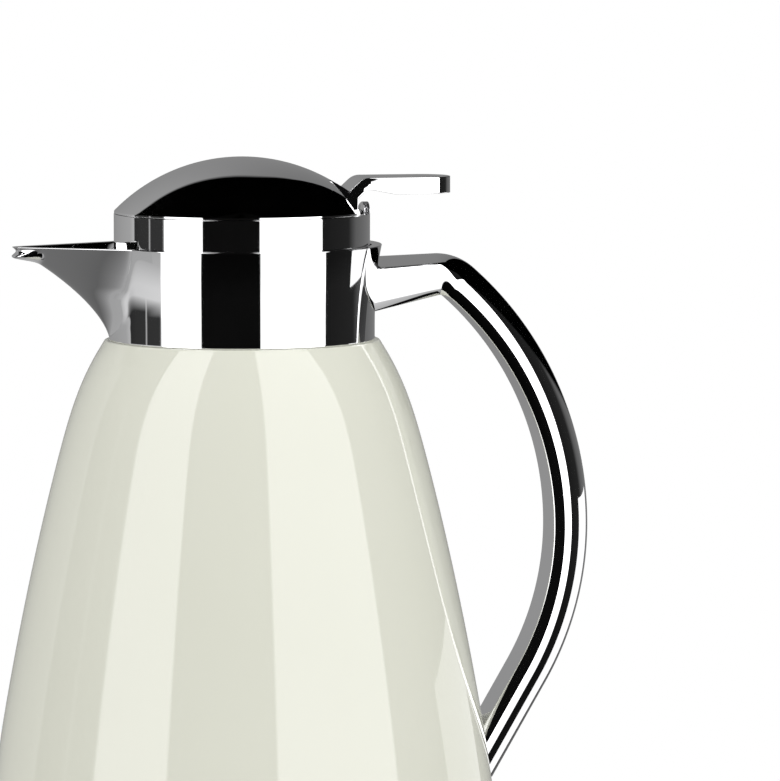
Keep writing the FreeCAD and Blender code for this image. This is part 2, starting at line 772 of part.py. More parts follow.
def spring_point(turns):
    """Place and direction on the spring's winding after a number of turns from its rear."""
    angle = 2 * math.pi * turns
    place = Vector(
        HINGE_X + SPRING_COIL_R * math.cos(angle),
        SPRING_PITCH * (turns - SPRING_TURNS / 2),
        HINGE_Z + SPRING_COIL_R * math.sin(angle),
    )
    way = Vector(-math.sin(angle), SPRING_PITCH / (2 * math.pi * SPRING_COIL_R), math.cos(angle))
    return place, way.normalize()


def lid_spring():
    quarters = 4 * SPRING_TURNS
    edges = []
    for index in range(quarters):
        start, start_way = spring_point(index / 4)
        end, end_way = spring_point((index + 1) / 4)
        edges += biarc(start, start_way, end, end_way)
    first, first_way = spring_point(0)
    last, last_way = spring_point(SPRING_TURNS)
    low = first - first_way * SPRING_REST_LEG
    edges = [line(low, first)] + edges + [line(last, last + last_way * SPRING_PUSH_LEG)]
    wire = Part.Wire(edges)
    section = Part.Wire(Part.makeCircle(SPRING_WIRE_R, low, first_way))
    spring = wire.makePipeShell([section], True, False)
    turn_points = [spring_point(index / 36)[0] for index in range(36 * SPRING_TURNS + 1)]
    gap = min(
        (turn_points[early] - turn_points[late]).Length
        for early in range(len(turn_points))
        for late in range(early + 18, len(turn_points))
    ) - 2 * SPRING_WIRE_R
    print("lid_spring: least gap between turns", round(gap, 3), "mm; volume share",
          round(spring.Volume / (wire.Length * math.pi * SPRING_WIRE_R ** 2), 4))
    return spring


# Lid dome


def rear_slope():
    """Lowest point, outward normal and upward line of the sloping face that cuts the dome's rear."""
    slope = math.radians(DOME_CUT_SLOPE)
    foot = Vector(HINGE_X - DOME_CUT_AHEAD, 0, DOME_Z)
    return foot, Vector(math.sin(slope), 0, math.cos(slope)), Vector(-math.cos(slope), 0, math.sin(slope))


def on_slope(level, depth):
    """The point of the rear face at a level, with the face sunk by depth."""
    foot, outward, up = rear_slope()
    sunk = foot - outward * depth
    return sunk + up * ((level - sunk.z) / up.z)


def behind_slope(depth):
    """Everything behind the rear face, with the face sunk by depth."""
    foot, outward, up = rear_slope()
    size = 2 * DOME_R
    low = foot - outward * depth - up * size
    high = foot - outward * depth + up * size
    corners = [low, high, high + outward * size, low + outward * size]
    return prism([(corner.x, corner.z) for corner in corners], size)


def dome_solid(wall):
    """The dome as a filled solid: a short upright land and a round crown, sunk by wall."""
    land_z = DOME_Z + DOME_LAND
    crown_r = (DOME_R ** 2 + DOME_CROWN_RISE ** 2) / (2 * DOME_CROWN_RISE)
    centre = Vector(0, 0, DOME_TOP_Z - crown_r)
    radius = crown_r - wall
    turn = math.acos((land_z - centre.z) / radius)
    side = centre + Vector(radius * math.sin(turn), 0, radius * math.cos(turn))
    crown = centre + Vector(radius * math.sin(turn / 2), 0, radius * math.cos(turn / 2))
    top = centre + Z_AXIS * radius
    rim = Vector(side.x, 0, DOME_Z)
    floor = Vector(0, 0, DOME_Z)
    return revolve([line(floor, rim), line(rim, side), arc(side, crown, top), line(top, floor)])


def lever_screw_seats():
    """Seats and direction of the screws that go through the dome's rear face into the lever."""
    outward = rear_slope()[1]
    middle = on_slope(DOME_Z + LEVER_SCREW_UP, 0) - outward * DOME_WALL
    return [middle + Y_AXIS * side * LEVER_SCREW_Y for side in (1, -1)], outward


def lid_dome():
    dome = dome_solid(0).cut(behind_slope(0))
    hollow = dome_solid(DOME_WALL).cut(behind_slope(DOME_WALL))
    dome = dome.cut(hollow)
    seats, outward = lever_screw_seats()
    for seat in seats:
        dome = dome.cut(rod(HOLE_R, seat, outward, DOME_WALL))
    return dome.removeSplitter()


def dome_liner():
    top_z = LINER_Z + LINER_T
    liner = disc(DOME_R - LINER_IN, LINER_Z, top_z).cut(behind_slope(DOME_WALL + FIT))
    rear = on_slope(top_z, DOME_WALL + FIT)
    size = 2 * DOME_R
    liner = liner.cut(block(Vector(rear.x, -size, LINER_Z), Vector(size, size, top_z)))
    seats, outward = lever_screw_seats()
    for seat in seats:
        pocket = seat - outward * (HEAD_H + FIT)
        liner = liner.cut(rod(HEAD_R + FIT, pocket, outward, HEAD_H + 2 * FIT))
    stem_low = PLUG_Z + PLUG_T
    liner = liner.fuse(disc(STEM_R, stem_low, top_z))
    return liner.cut(disc(HOLE_R, stem_low, stem_low + PLUG_SCREW_GRIP + FIT)).removeSplitter()


def plug_gasket_radii():
    return POUR_BORE_R - PLUG_GASKET_IN, POUR_BORE_R + PLUG_GASKET_OUT


def pour_plug():
    inner_r, outer_r = plug_gasket_radii()
    plug = disc(PLUG_R, PLUG_Z, PLUG_Z + PLUG_T)
    plug = plug.cut(ring(inner_r - SEAT, outer_r + SEAT, PLUG_Z, PLUG_Z + PLUG_GROOVE))
    return plug.cut(disc(HOLE_R, PLUG_Z, PLUG_Z + PLUG_T))


def plug_gasket():
    inner_r, outer_r = plug_gasket_radii()
    top = PLUG_Z + PLUG_GROOVE
    return ring(inner_r, outer_r, top - PLUG_GASKET_T, top)


def plug_screw():
    return screw(Vector(0, 0, PLUG_Z), Z_AXIS, PLUG_T + PLUG_SCREW_GRIP)


# Thumb lever


def thumb_lever():
    half_w = LEVER_W / 2
    top_z = DOME_Z + LEVER_TOP_RISE
    rise = math.tan(math.radians(LEVER_NECK_SLOPE))
    drop = LEVER_NECK_T / math.cos(math.radians(LEVER_NECK_SLOPE))
    low_z = DOME_Z + LEVER_WEDGE_RISE
    tongue_z = top_z - LEVER_TONGUE_T
    front_x = LEVER_BEND_X - LEVER_TOP_RISE / rise

    def under(x):
        return top_z + (x - LEVER_BEND_X) * rise - drop

    under_z = top_z - LEVER_NECK_T
    neck_end_x = LEVER_BEND_X + (under_z - top_z + drop) / rise
    strap = prism([
        (front_x, DOME_Z),
        (LEVER_BEND_X, top_z),
        (LEVER_END_X, top_z),
        (LEVER_END_X, tongue_z),
        (LEVER_TONGUE_X, tongue_z),
        (neck_end_x, under_z),
        (LEVER_REAR_X, under(LEVER_REAR_X)),
        (LEVER_REAR_X, DOME_Z),
    ], half_w)
    wedge = dome_solid(0).common(behind_slope(0))
    wedge = wedge.common(block(Vector(0, -half_w, low_z), Vector(LEVER_REAR_X, half_w, DOME_TOP_Z)))
    lever = strap.common(behind_slope(0)).cut(disc(DOME_R, DOME_Z, low_z)).fuse(wedge)
    corner = LEVER_CORNER_R
    tip = block(
        Vector(LEVER_END_X - corner, -half_w, tongue_z),
        Vector(LEVER_END_X, half_w, top_z),
    )
    rounded = block(
        Vector(LEVER_END_X - corner, -half_w + corner, tongue_z),
        Vector(LEVER_END_X, half_w - corner, top_z),
    )
    for side in (1, -1):
        place = Vector(LEVER_END_X - corner, side * (half_w - corner), tongue_z)
        rounded = rounded.fuse(rod(corner, place, Z_AXIS, LEVER_TONGUE_T))
    lever = lever.cut(tip.cut(rounded))
    for y in (KNUCKLE_IN, -KNUCKLE_OUT):
        width = KNUCKLE_OUT - KNUCKLE_IN
        eye = rod(KNUCKLE_R, Vector(HINGE_X, y, HINGE_Z), Y_AXIS, width)
        web = block(
            Vector(HINGE_X - KNUCKLE_R / 2, y, HINGE_Z),
            Vector(LEVER_REAR_X, y + width, low_z + LEVER_NECK_T / 2),
        )
        lever = lever.fuse(eye).fuse(web)
    lever = lever.cut(rod(PIN_R + RUN_FIT, Vector(HINGE_X, -half_w, HINGE_Z), Y_AXIS, LEVER_W))
    seats, outward = lever_screw_seats()
    for seat in seats:
        lever = lever.cut(screw_hole(seat, outward, DOME_WALL + LEVER_SCREW_GRIP))
    return lever.removeSplitter()


def lever_screws():
    seats, outward = lever_screw_seats()
    return [screw(seat, outward, DOME_WALL + LEVER_SCREW_GRIP) for seat in seats]


PIECES = {
    "body_shell": body_shell,
    "base_cap": base_cap,
    "base_screws": base_screws,
    "foot_ring": foot_ring,
    "flask_outer": flask_outer,
    "flask_inner": flask_inner,
    "flask_cushion": flask_cushion,
    "neck_seal": neck_seal,
    "neck_sleeve": neck_sleeve,
    "neck_lock_ring": neck_lock_ring,
    "spout_collar": spout_collar,
    "handle": handle,
    "handle_screws": handle_screws,
    "closure_gasket": closure_gasket,
    "stopper_body": stopper_body,
    "lid_ring": lid_ring,
    "closure_screws": closure_screws,
    "hinge_pin": hinge_pin,
    "lid_spring": lid_spring,
    "lid_dome": lid_dome,
    "dome_liner": dome_liner,
    "thumb_lever": thumb_lever,
    "lever_screws": lever_screws,
    "pour_plug": pour_plug,
    "plug_gasket": plug_gasket,
    "plug_screw": plug_screw,
}

os.makedirs("parts", exist_ok=True)
for name, make in PIECES.items():
    made = make()
    solids = made if isinstance(made, list) else made.Solids
    shape = solids[0] if len(solids) == 1 else Part.makeCompound(solids)
    shape.exportStep(os.path.join("parts", name + ".step"))
    print(name, len(solids), "solid(s)", "valid" if shape.isValid() else "NOT VALID", round(shape.Volume, 1))
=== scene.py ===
import bmesh
import bpy
import numpy as np
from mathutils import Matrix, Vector


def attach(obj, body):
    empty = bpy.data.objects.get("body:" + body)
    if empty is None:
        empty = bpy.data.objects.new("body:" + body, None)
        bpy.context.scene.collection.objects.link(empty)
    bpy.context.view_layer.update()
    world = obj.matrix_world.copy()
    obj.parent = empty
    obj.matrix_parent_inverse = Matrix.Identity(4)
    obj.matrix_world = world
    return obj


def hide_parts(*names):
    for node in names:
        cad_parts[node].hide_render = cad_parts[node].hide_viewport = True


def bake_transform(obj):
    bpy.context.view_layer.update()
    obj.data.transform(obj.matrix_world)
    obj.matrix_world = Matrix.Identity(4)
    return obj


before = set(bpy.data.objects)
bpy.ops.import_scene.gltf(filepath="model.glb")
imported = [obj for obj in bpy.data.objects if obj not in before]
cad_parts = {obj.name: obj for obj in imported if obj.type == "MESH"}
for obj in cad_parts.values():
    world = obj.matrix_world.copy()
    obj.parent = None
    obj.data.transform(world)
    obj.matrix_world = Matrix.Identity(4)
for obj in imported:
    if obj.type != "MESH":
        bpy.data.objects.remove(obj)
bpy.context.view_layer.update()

# Body shell: a tall flared shell, moulded in one piece and sprayed with ivory gloss lacquer.
# Its top flange is clamped under the chrome collar and its open base is closed by the base cap.
# The pieces' sizes here and below are in millimetres, and MM turns them into metres.

MM = 0.001
MERGE_WITHIN = 0.002 * MM
SLIVER = 0.001 * MM
SHELL_SIDE = np.array([
    (77.5, 4.2), (82.8, 45.2), (76.0, 116.0), (66.4, 164.0), (58.6, 196.0), (50.6, 220.0), (44.0, 232.0),
])
SHELL_WALL = 2.0
SHELL_BASE_HOLE_R = 60.0
SHELL_NECK_HOLE_R = 33.3
SHELL_FLANGE_T = 3.0
SHELL_RIM_ROUND = 0.5
SHELL_HEEL_ROUND = 1.2
SHELL_ROUND_ARM = 6.0
SHELL_ROWS = 120
SHELL_COLUMNS = 384


def through(stations, count):
    """A cubic through the stations with even curvature where its pieces meet, spread over count points.
    The slopes at the two ends are those of the parabolas through the first and the last three stations."""
    steps = np.linalg.norm(np.diff(stations, axis=0), axis=1)
    at = np.concatenate([[0.0], np.cumsum(steps)])
    chords = np.diff(stations, axis=0) / steps[:, None]
    bends = np.diff(chords, axis=0) / (steps[1:] + steps[:-1])[:, None]
    size = len(stations)
    matrix = np.eye(size)
    right = np.zeros_like(stations)
    right[0] = chords[0] - bends[0] * steps[0]
    right[-1] = chords[-1] + bends[-1] * steps[-1]
    inner = np.arange(1, size - 1)
    matrix[inner, inner - 1] = 1 / steps[:-1]
    matrix[inner, inner] = 2 / steps[:-1] + 2 / steps[1:]
    matrix[inner, inner + 1] = 1 / steps[1:]
    right[inner] = 3 * (chords[:-1] / steps[:-1, None] + chords[1:] / steps[1:, None])
    slopes = np.linalg.solve(matrix, right)
    place = np.linspace(0, at[-1], count)
    cell = np.clip(np.searchsorted(at, place) - 1, 0, size - 2)
    width = steps[cell][:, None]
    t = ((place - at[cell]) / steps[cell])[:, None]
    start = (1 + 2 * t) * (1 - t) ** 2 * stations[cell] + t * (1 - t) ** 2 * width * slopes[cell]
    end = t ** 2 * (3 - 2 * t) * stations[cell + 1] + t ** 2 * (t - 1) * width * slopes[cell + 1]
    return start + end


def turned(profile, around=320):
    """A profile of (radius, level) points carried round the jug's axis."""
    angle = np.linspace(0, 2 * np.pi, around, endpoint=False)[:, None]
    radius = profile[None, :, 0]
    level = np.broadcast_to(profile[None, :, 1], (around, len(profile)))
    return np.stack([radius * np.cos(angle), radius * np.sin(angle), level], axis=-1)


def eased(corners, radii, steps=6):
    """A chain of corners with each one rounded by the parabola that touches its arms at the given length.
    A corner of no radius stays sharp."""
    corners = np.asarray(corners, float)
    t = np.linspace(0, 1, steps)[:, None]
    chain = []
    for index, (corner, radius) in enumerate(zip(corners, radii)):
        if radius == 0:
            chain.append(corner[None])
            continue
        back = corners[index - 1] - corner
        ahead = corners[(index + 1) % len(corners)] - corner
        first = corner + back / np.linalg.norm(back) * radius
        last = corner + ahead / np.linalg.norm(ahead) * radius
        chain.append((1 - t) ** 2 * first + 2 * t * (1 - t) * corner + t ** 2 * last)
    return np.concatenate(chain)


def piece(name, grids, body, finish, stands_for, crease=38):
    """One object from grids of points in millimetres. The first direction of a grid always closes on itself.
    The second closes where the grid is given with True. Points that coincide are merged, and edges that
    turn by more than crease degrees stay sharp. A piece that bends between two bodies is given no body."""
    points, faces, base = [], [], 0
    for grid, closed in grids:
        rows, columns = grid.shape[:2]
        index = base + np.arange(rows * columns).reshape(rows, columns)
        index = np.concatenate([index, index[:1]])
        if closed:
            index = np.concatenate([index, index[:, :1]], axis=1)
        quads = np.stack([index[:-1, :-1], index[1:, :-1], index[1:, 1:], index[:-1, 1:]], axis=-1)
        points.append(grid.reshape(-1, 3) * MM)
        faces.append(quads.reshape(-1, 4))
        base += rows * columns
    mesh = bpy.data.meshes.new(name)
    mesh.from_pydata(np.concatenate(points).tolist(), [], np.concatenate(faces).tolist())
    shape = bmesh.new()
    shape.from_mesh(mesh)
    bmesh.ops.remove_doubles(shape, verts=shape.verts, dist=MERGE_WITHIN)
    bmesh.ops.dissolve_degenerate(shape, edges=shape.edges, dist=SLIVER)
    bmesh.ops.recalc_face_normals(shape, faces=shape.faces)
    shape.to_mesh(mesh)
    shape.free()
    mesh.shade_smooth()
    mesh.set_sharp_from_angle(angle=np.radians(crease))
    made = bpy.data.objects.new(name, mesh)
    bpy.context.scene.collection.objects.link(made)
    mesh.materials.append(finish)
    if body:
        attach(made, body)
    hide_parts(*stands_for)
    return made


def plain_finish(name, roughness, metallic=0.0, ior=1.5):
    """A new material with its shader, a helper that adds a node with its inputs set, and one that links."""
    material = bpy.data.materials.new(name)
    material.use_nodes = True
    shader = material.node_tree.nodes["Principled BSDF"]
    shader.inputs["Roughness"].default_value = roughness
    shader.inputs["Metallic"].default_value = metallic
    shader.inputs["IOR"].default_value = ior

    def add(kind, **values):
        node = material.node_tree.nodes.new(kind)
        for socket, value in values.items():
            node.inputs[socket.replace("_", " ")].default_value = value
        return node

    return material, shader, add, material.node_tree.links.new


def mottled(finish, low, high, scale, stretch=(1, 1, 1)):
    """Base colour that drifts between two close tones with a soft noise on Object coordinates."""
    _, shader, add, link = finish
    place = add("ShaderNodeTexCoord")
    turn = add("ShaderNodeMapping", Scale=stretch)
    noise = add("ShaderNodeTexNoise", Scale=scale, Detail=3.0)
    ramp = add("ShaderNodeValToRGB")
    for element, position, tone in zip(ramp.color_ramp.elements, (0.3, 0.7), (low, high)):
        element.position = position
        element.color = (*tone, 1)
    link(place.outputs["Object"], turn.inputs["Vector"])
    link(turn.outputs["Vector"], noise.inputs["Vector"])
    link(noise.outputs["Fac"], ramp.inputs["Fac"])
    link(ramp.outputs["Color"], shader.inputs["Base Color"])


def grained(finish, scale, depth, stretch=(1, 1, 1)):
    """A fine surface grain: noise on Object coordinates as a bump of the given depth in metres."""
    _, shader, add, link = finish
    place = add("ShaderNodeTexCoord")
    turn = add("ShaderNodeMapping", Scale=stretch)
    noise = add("ShaderNodeTexNoise", Scale=scale, Detail=2.0)
    bump = add("ShaderNodeBump", Strength=1.0, Distance=depth)
    link(place.outputs["Object"], turn.inputs["Vector"])
    link(turn.outputs["Vector"], noise.inputs["Vector"])
    link(noise.outputs["Fac"], bump.inputs["Height"])
    link(bump.outputs["Normal"], shader.inputs["Normal"])


def smudged(finish, low, high, scale):
    """Roughness that drifts between two values, as on a polished face that has been handled."""
    _, shader, add, link = finish
    place = add("ShaderNodeTexCoord")
    noise = add("ShaderNodeTexNoise", Scale=scale, Detail=4.0)
    span = add("ShaderNodeMapRange", From_Min=0.35, From_Max=0.75, To_Min=low, To_Max=high)
    link(place.outputs["Object"], noise.inputs["Vector"])
    link(noise.outputs["Fac"], span.inputs["Value"])
    link(span.outputs["Result"], shader.inputs["Roughness"])


ivory_lacquer = plain_finish("ivory_lacquer", 0.03, ior=1.56)
mottled(ivory_lacquer, (0.705, 0.710, 0.615), (0.725, 0.730, 0.637), 9.0)
grained(ivory_lacquer, 1400.0, 0.0000006)
smudged(ivory_lacquer, 0.02, 0.05, 25.0)

side = through(SHELL_SIDE, SHELL_ROWS)
slope = np.gradient(side, axis=0)
inward = np.stack([-slope[:, 1], slope[:, 0]], axis=1) / np.linalg.norm(slope, axis=1)[:, None]
inside = (side + SHELL_WALL * inward)[4:-6][::-1]
shell_top = SHELL_SIDE[-1]
shell_foot = SHELL_SIDE[0]
rim_arm = (shell_top[0] - SHELL_ROUND_ARM, shell_top[1])
heel_arm = (shell_foot[0] - SHELL_ROUND_ARM, shell_foot[1])
rim = eased([rim_arm, shell_top, side[-4]], (0, SHELL_RIM_ROUND, 0))[1:-1][::-1]
heel = eased([side[3], shell_foot, heel_arm], (0, SHELL_HEEL_ROUND, 0))[1:-1][::-1]
shell_profile = np.concatenate([
    [(SHELL_BASE_HOLE_R, shell_foot[1])],
    heel,
    side[3:-3],
    rim,
    [(SHELL_NECK_HOLE_R, shell_top[1]), (SHELL_NECK_HOLE_R, shell_top[1] - SHELL_FLANGE_T)],
    inside,
    [(SHELL_BASE_HOLE_R, shell_foot[1] + SHELL_WALL)],
])
piece(
    "lacquered_shell", [(turned(shell_profile, SHELL_COLUMNS), True)], "jug", ivory_lacquer[0],
    ["body_shell"],
)

# Base cap, foot ring and base screws: a moulded black cap pressed into the shell's open base, held by three
# countersunk steel screws, with a rubber ring in its groove that the jug stands on.


def dress(node, finish):
    """A carried-over CAD node takes a finish."""
    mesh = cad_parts[node].data
    mesh.materials.clear()
    mesh.materials.append(finish[0])


black_plastic = plain_finish("black_plastic", 0.38)
mottled(black_plastic, (0.018, 0.018, 0.019), (0.026, 0.026, 0.028), 60.0)
grained(black_plastic, 2200.0, 0.000012)
dark_rubber = plain_finish("dark_rubber", 0.72)
mottled(dark_rubber, (0.024, 0.024, 0.024), (0.040, 0.039, 0.038), 90.0)
grained(dark_rubber, 1500.0, 0.00003)
brushed_steel = plain_finish("brushed_steel", 0.28, metallic=1.0)
mottled(brushed_steel, (0.56, 0.56, 0.57), (0.68, 0.68, 0.69), 300.0, (1, 1, 12))
grained(brushed_steel, 2600.0, 0.000004, (1, 1, 14))
dress("base_cap", black_plastic)
dress("foot_ring", dark_rubber)
dress("base_screws", brushed_steel)

# Glass flask with its cushion: two blown and silvered glass bottles, one in the other and joined at the
# mouth. The flask stands in a rubber cup on the base cap and is held down by the seal in the neck.

silvered_glass = plain_finish("silvered_glass", 0.05, metallic=0.9)
mottled(silvered_glass, (0.80, 0.82, 0.83), (0.88, 0.90, 0.91), 22.0)
smudged(silvered_glass, 0.03, 0.10, 40.0)
for node in ("flask_outer", "flask_inner"):
    dress(node, silvered_glass)
dress("flask_cushion", dark_rubber)

# Neck: a white threaded sleeve that draws the collar and the shell's flange together with a ring nut below,
# and a soft white seal between the sleeve and the flask's mouth.

white_plastic = plain_finish("white_plastic", 0.35)
mottled(white_plastic, (0.73, 0.73, 0.70), (0.78, 0.78, 0.75), 50.0)
grained(white_plastic, 2200.0, 0.000008)
white_silicone = plain_finish("white_silicone", 0.6)
mottled(white_silicone, (0.74, 0.74, 0.72), (0.81, 0.81, 0.79), 80.0)
grained(white_silicone, 1500.0, 0.00002)
white_silicone[1].inputs["Subsurface Weight"].default_value = 0.15
white_silicone[1].inputs["Subsurface Radius"].default_value = (0.002, 0.002, 0.002)
dress("neck_sleeve", white_plastic)
dress("neck_lock_ring", white_plastic)
dress("neck_seal", white_silicone)

# Spout collar: a chrome-plated casting that sits on the shell's shoulder, with the pouring spout drawn out
# of it. The threaded sleeve clamps it from inside, and its inner channel leads from the closure's slots to
# the lip, with a drip bead below.

COLLAR_Z = 232.0
COLLAR_H = 30.5
COLLAR_BASE_R = 42.5
COLLAR_TOP_R = 44.8
COLLAR_FLARE = 3.0
COLLAR_BORE_R = 41.5
COLLAR_FLOOR_H = 18.0
COLLAR_HEEL_ROUND = 0.4
COLLAR_EDGE_ROUND = 0.2
SPOUT_REACH = 74.1
SPOUT_NOSE_R = 4.5
SPOUT_KEEL_R = 10.0
SPOUT_KEEL_STEP = 0.3
SPOUT_SWEEP = 1.55
SPOUT_NOSE_SWEEP = 0.8
SPOUT_WAIST = 0.45
SPOUT_WAIST_H = 18.0
SPOUT_WALL = 2.6
SPOUT_CREASE = 0.35
CREASE_LOW_SHARE = 0.15
CREASE_FROM_H = 8.0
CREASE_TO_H = 18.0
BEAD_H = 27.1
BEAD_OUT = 5.3
BEAD_SPREAD = 1.6
BEAD_FROM_X = 64.5
BEAD_RUN = 4.0
BEAD_WIDEN = 0.06
DIRECTIONS = 12001
TURN_WEIGHT = 22.0
FINE_ROWS_H = 22.0
ROW_GAP = 0.3


def spout_rows(heights, bore, wall, sink, count=560):
    """Level outlines of the collar with its spout, one row for each height, as (x, y, direction).
    In each direction from the axis the outline lies on the collar's circle or on the spout, whichever is
    farther, with the crease between them softened, less so low down. The spout is a nose circle with a
    straight flank on each side.
    A flank leaves the collar at an angle root from the spout's middle and its normal stands at an angle turn,
    so that its distance in a direction is its distance from the axis over the cosine of direction less turn.
    Past the normal it is multiplied by that cosine, so that the flank falls away from the collar's circle.
    The result sinks by sink, and points are spread by length and by turning."""
    share = heights / COLLAR_H
    main_r = COLLAR_BASE_R + (COLLAR_TOP_R - COLLAR_BASE_R) * share ** COLLAR_FLARE
    nose_r = SPOUT_KEEL_R - (SPOUT_KEEL_R - SPOUT_NOSE_R) * share ** SPOUT_NOSE_SWEEP
    tip = main_r + SPOUT_KEEL_STEP + (SPOUT_REACH - COLLAR_TOP_R - SPOUT_KEEL_STEP) * share ** SPOUT_SWEEP
    distance = tip - nose_r
    waist = np.minimum(heights / SPOUT_WAIST_H, 1)
    root = np.arccos((main_r - nose_r) / distance) * (1 - SPOUT_WAIST * waist ** 2 * (3 - 2 * waist))
    ahead, aside = main_r * np.cos(root) - distance, main_r * np.sin(root)
    turn = np.arctan2(aside, ahead) - np.arccos(nose_r / np.hypot(ahead, aside))
    flank = (nose_r + distance * np.cos(turn) - wall)[:, None]
    nose_r = (nose_r - wall)[:, None]
    turn, distance = turn[:, None], distance[:, None]
    round_r = np.full_like(turn, bore) if bore else main_r[:, None]
    direction = np.linspace(-np.pi, np.pi, DIRECTIONS)[None, :]
    off = np.abs(direction)
    nose_end = np.arctan2(nose_r * np.sin(turn), distance + nose_r * np.cos(turn))
    chord = np.sqrt(np.clip(nose_r ** 2 - (distance * np.sin(np.minimum(off, 1))) ** 2, 0, None))
    beside = flank / np.cos(np.clip(turn - off, 0, 1.5)) * np.cos(np.clip(off - turn, 0, np.pi / 2))
    spout = np.where(off < nose_end, distance * np.cos(off) + chord, beside)
    crease_share = np.clip((heights - CREASE_FROM_H) / (CREASE_TO_H - CREASE_FROM_H), 0, 1)
    soft = SPOUT_CREASE * (CREASE_LOW_SHARE + (1 - CREASE_LOW_SHARE) * crease_share)[:, None]
    reach = (round_r + spout) / 2 + np.sqrt(((round_r - spout) / 2) ** 2 + soft ** 2) - sink[:, None]
    x, y = -reach * np.cos(direction), -reach * np.sin(direction)
    length = np.hypot(np.diff(x, axis=1), np.diff(y, axis=1)) + TURN_WEIGHT * np.diff(direction)
    run = np.concatenate([np.zeros((len(heights), 1)), np.cumsum(length, axis=1)], axis=1)
    rows = []
    for row in range(len(heights)):
        at = np.linspace(0, run[row, -1], count, endpoint=False)
        place = np.interp(at, run[row], direction[0])
        rows.append((np.interp(at, run[row], x[row]), np.interp(at, run[row], y[row]), place))
    return np.array(rows)


def quarter(radius, steps=5):
    """A quarter round as (sink, drop) pairs, from the upright side to the level top."""
    turn = np.linspace(0, np.pi / 2, steps)
    return radius * (1 - np.cos(turn)), radius * (1 - np.sin(turn))


heel_sink, heel_rise = quarter(COLLAR_HEEL_ROUND)
edge_sink, edge_drop = quarter(COLLAR_EDGE_ROUND)
wall_heights = np.concatenate([
    np.linspace(COLLAR_HEEL_ROUND + ROW_GAP, FINE_ROWS_H, 36),
    np.linspace(FINE_ROWS_H + ROW_GAP, COLLAR_H - ROW_GAP, 44),
])
side_heights = np.concatenate([heel_rise[::-1], wall_heights, COLLAR_H - edge_drop])
side_sink = np.concatenate([heel_sink[::-1], np.zeros_like(wall_heights), edge_sink])
channel_heights = np.linspace(COLLAR_H - 2 * COLLAR_EDGE_ROUND, COLLAR_FLOOR_H, 24)
inner_heights = np.concatenate([COLLAR_H - edge_drop[::-1][:-1], channel_heights])
inner_sink = np.concatenate([-edge_sink[::-1][:-1], np.zeros_like(channel_heights)])
outer_rows = spout_rows(side_heights, 0, 0.0, side_sink)
inner_rows = spout_rows(inner_heights, COLLAR_BORE_R, SPOUT_WALL, inner_sink)
way = outer_rows[0, 2]
bore_rows = np.stack([-SHELL_NECK_HOLE_R * np.cos(way), -SHELL_NECK_HOLE_R * np.sin(way), way])
collar_rows = np.concatenate([outer_rows, inner_rows, bore_rows[None], bore_rows[None]])
collar_levels = np.concatenate([side_heights, inner_heights, [COLLAR_FLOOR_H, 0.0]])[:, None]
at_tip = np.clip((-collar_rows[:, 0] - BEAD_FROM_X) / BEAD_RUN, 0, 1)
bead = BEAD_OUT * np.exp(-((collar_levels - BEAD_H) / BEAD_SPREAD) ** 2) * at_tip ** 2 * (3 - 2 * at_tip)
bead[len(side_heights):] = 0
collar_grid = np.stack([
    np.maximum(collar_rows[:, 0] - bead * np.cos(collar_rows[:, 2]), -SPOUT_REACH),
    collar_rows[:, 1] * (1 + BEAD_WIDEN * bead),
    COLLAR_Z + np.broadcast_to(collar_levels, bead.shape),
], axis=-1).transpose(1, 0, 2)
chrome = plain_finish("chrome", 0.03, metallic=1.0)
mottled(chrome, (0.83, 0.83, 0.84), (0.87, 0.87, 0.875), 14.0)
smudged(chrome, 0.015, 0.05, 30.0)
piece("chrome_spout_collar", [(collar_grid, True)], "jug", chrome[0], ["spout_collar"])

# Handle: a chrome-plated cast bow, flat towards the jug and with a soft ridge outside. Its root is screwed to
# the collar from inside and its foot to the shell, so no screw shows.

HANDLE_BOW_SIDE = (
    (-90, 0.4), (-60, 0.4), (-30, 7.5), (-15, 7.5), (-4.5, 3.8), (10, 3.8), (25.5, 14.4), (50, 14.4), (74, 0),
)
HANDLE_ROOT_SIDE = (
    (-90, 0.4), (-38, 21.0), (-30, 1.5), (-12, 62.0), (-6, 1.0), (2, 25.0), (8, 1.5), (68, 89.0), (74, 0),
)
HANDLE_OUT = 6.95
HANDLE_ROOT = (40.0, 249.1)
HANDLE_ROOT_H = 17.6
HANDLE_TOP_Z = 251.8
HANDLE_ELBOW_R = 12.0
HANDLE_UPPER_BOW_R = 105.0
HANDLE_LOWER_BOW_R = 96.0
HANDLE_REACH = 106.7
HANDLE_MID_Z = 170.0
HANDLE_FOOT_TURN = 30.0
HANDLE_FOOT_X = 76.1
ROOT_STEPS = 24
SIDE_STEPS = 14
BOW_FROM_STATION = 18
BOW_OVER_STATIONS = 24


def bend(centre, radius, first, last, steps):
    """An arc in the jug's middle plane as (x, z, heading) rows. The heading is the outward normal's angle."""
    angle = np.linspace(first, last, steps)
    return np.stack([centre[0] + radius * np.cos(angle), centre[1] + radius * np.sin(angle), angle], axis=1)


def bent(turns, steps):
    """A line in (out, aside) whose normal turns through the given angles, with the given radius of bend from
    each angle to the next: out grows by the radius times the sine's change, aside by the cosine's."""
    runs = [np.zeros((1, 2))]
    for (first, radius), (last, _) in zip(turns, turns[1:]):
        angle = np.radians(np.linspace(first, last, steps))
        run = radius * np.stack([np.sin(angle), np.cos(angle)], axis=1)
        runs.append(runs[-1][-1] + (run - run[0])[1:])
    return np.concatenate(runs)


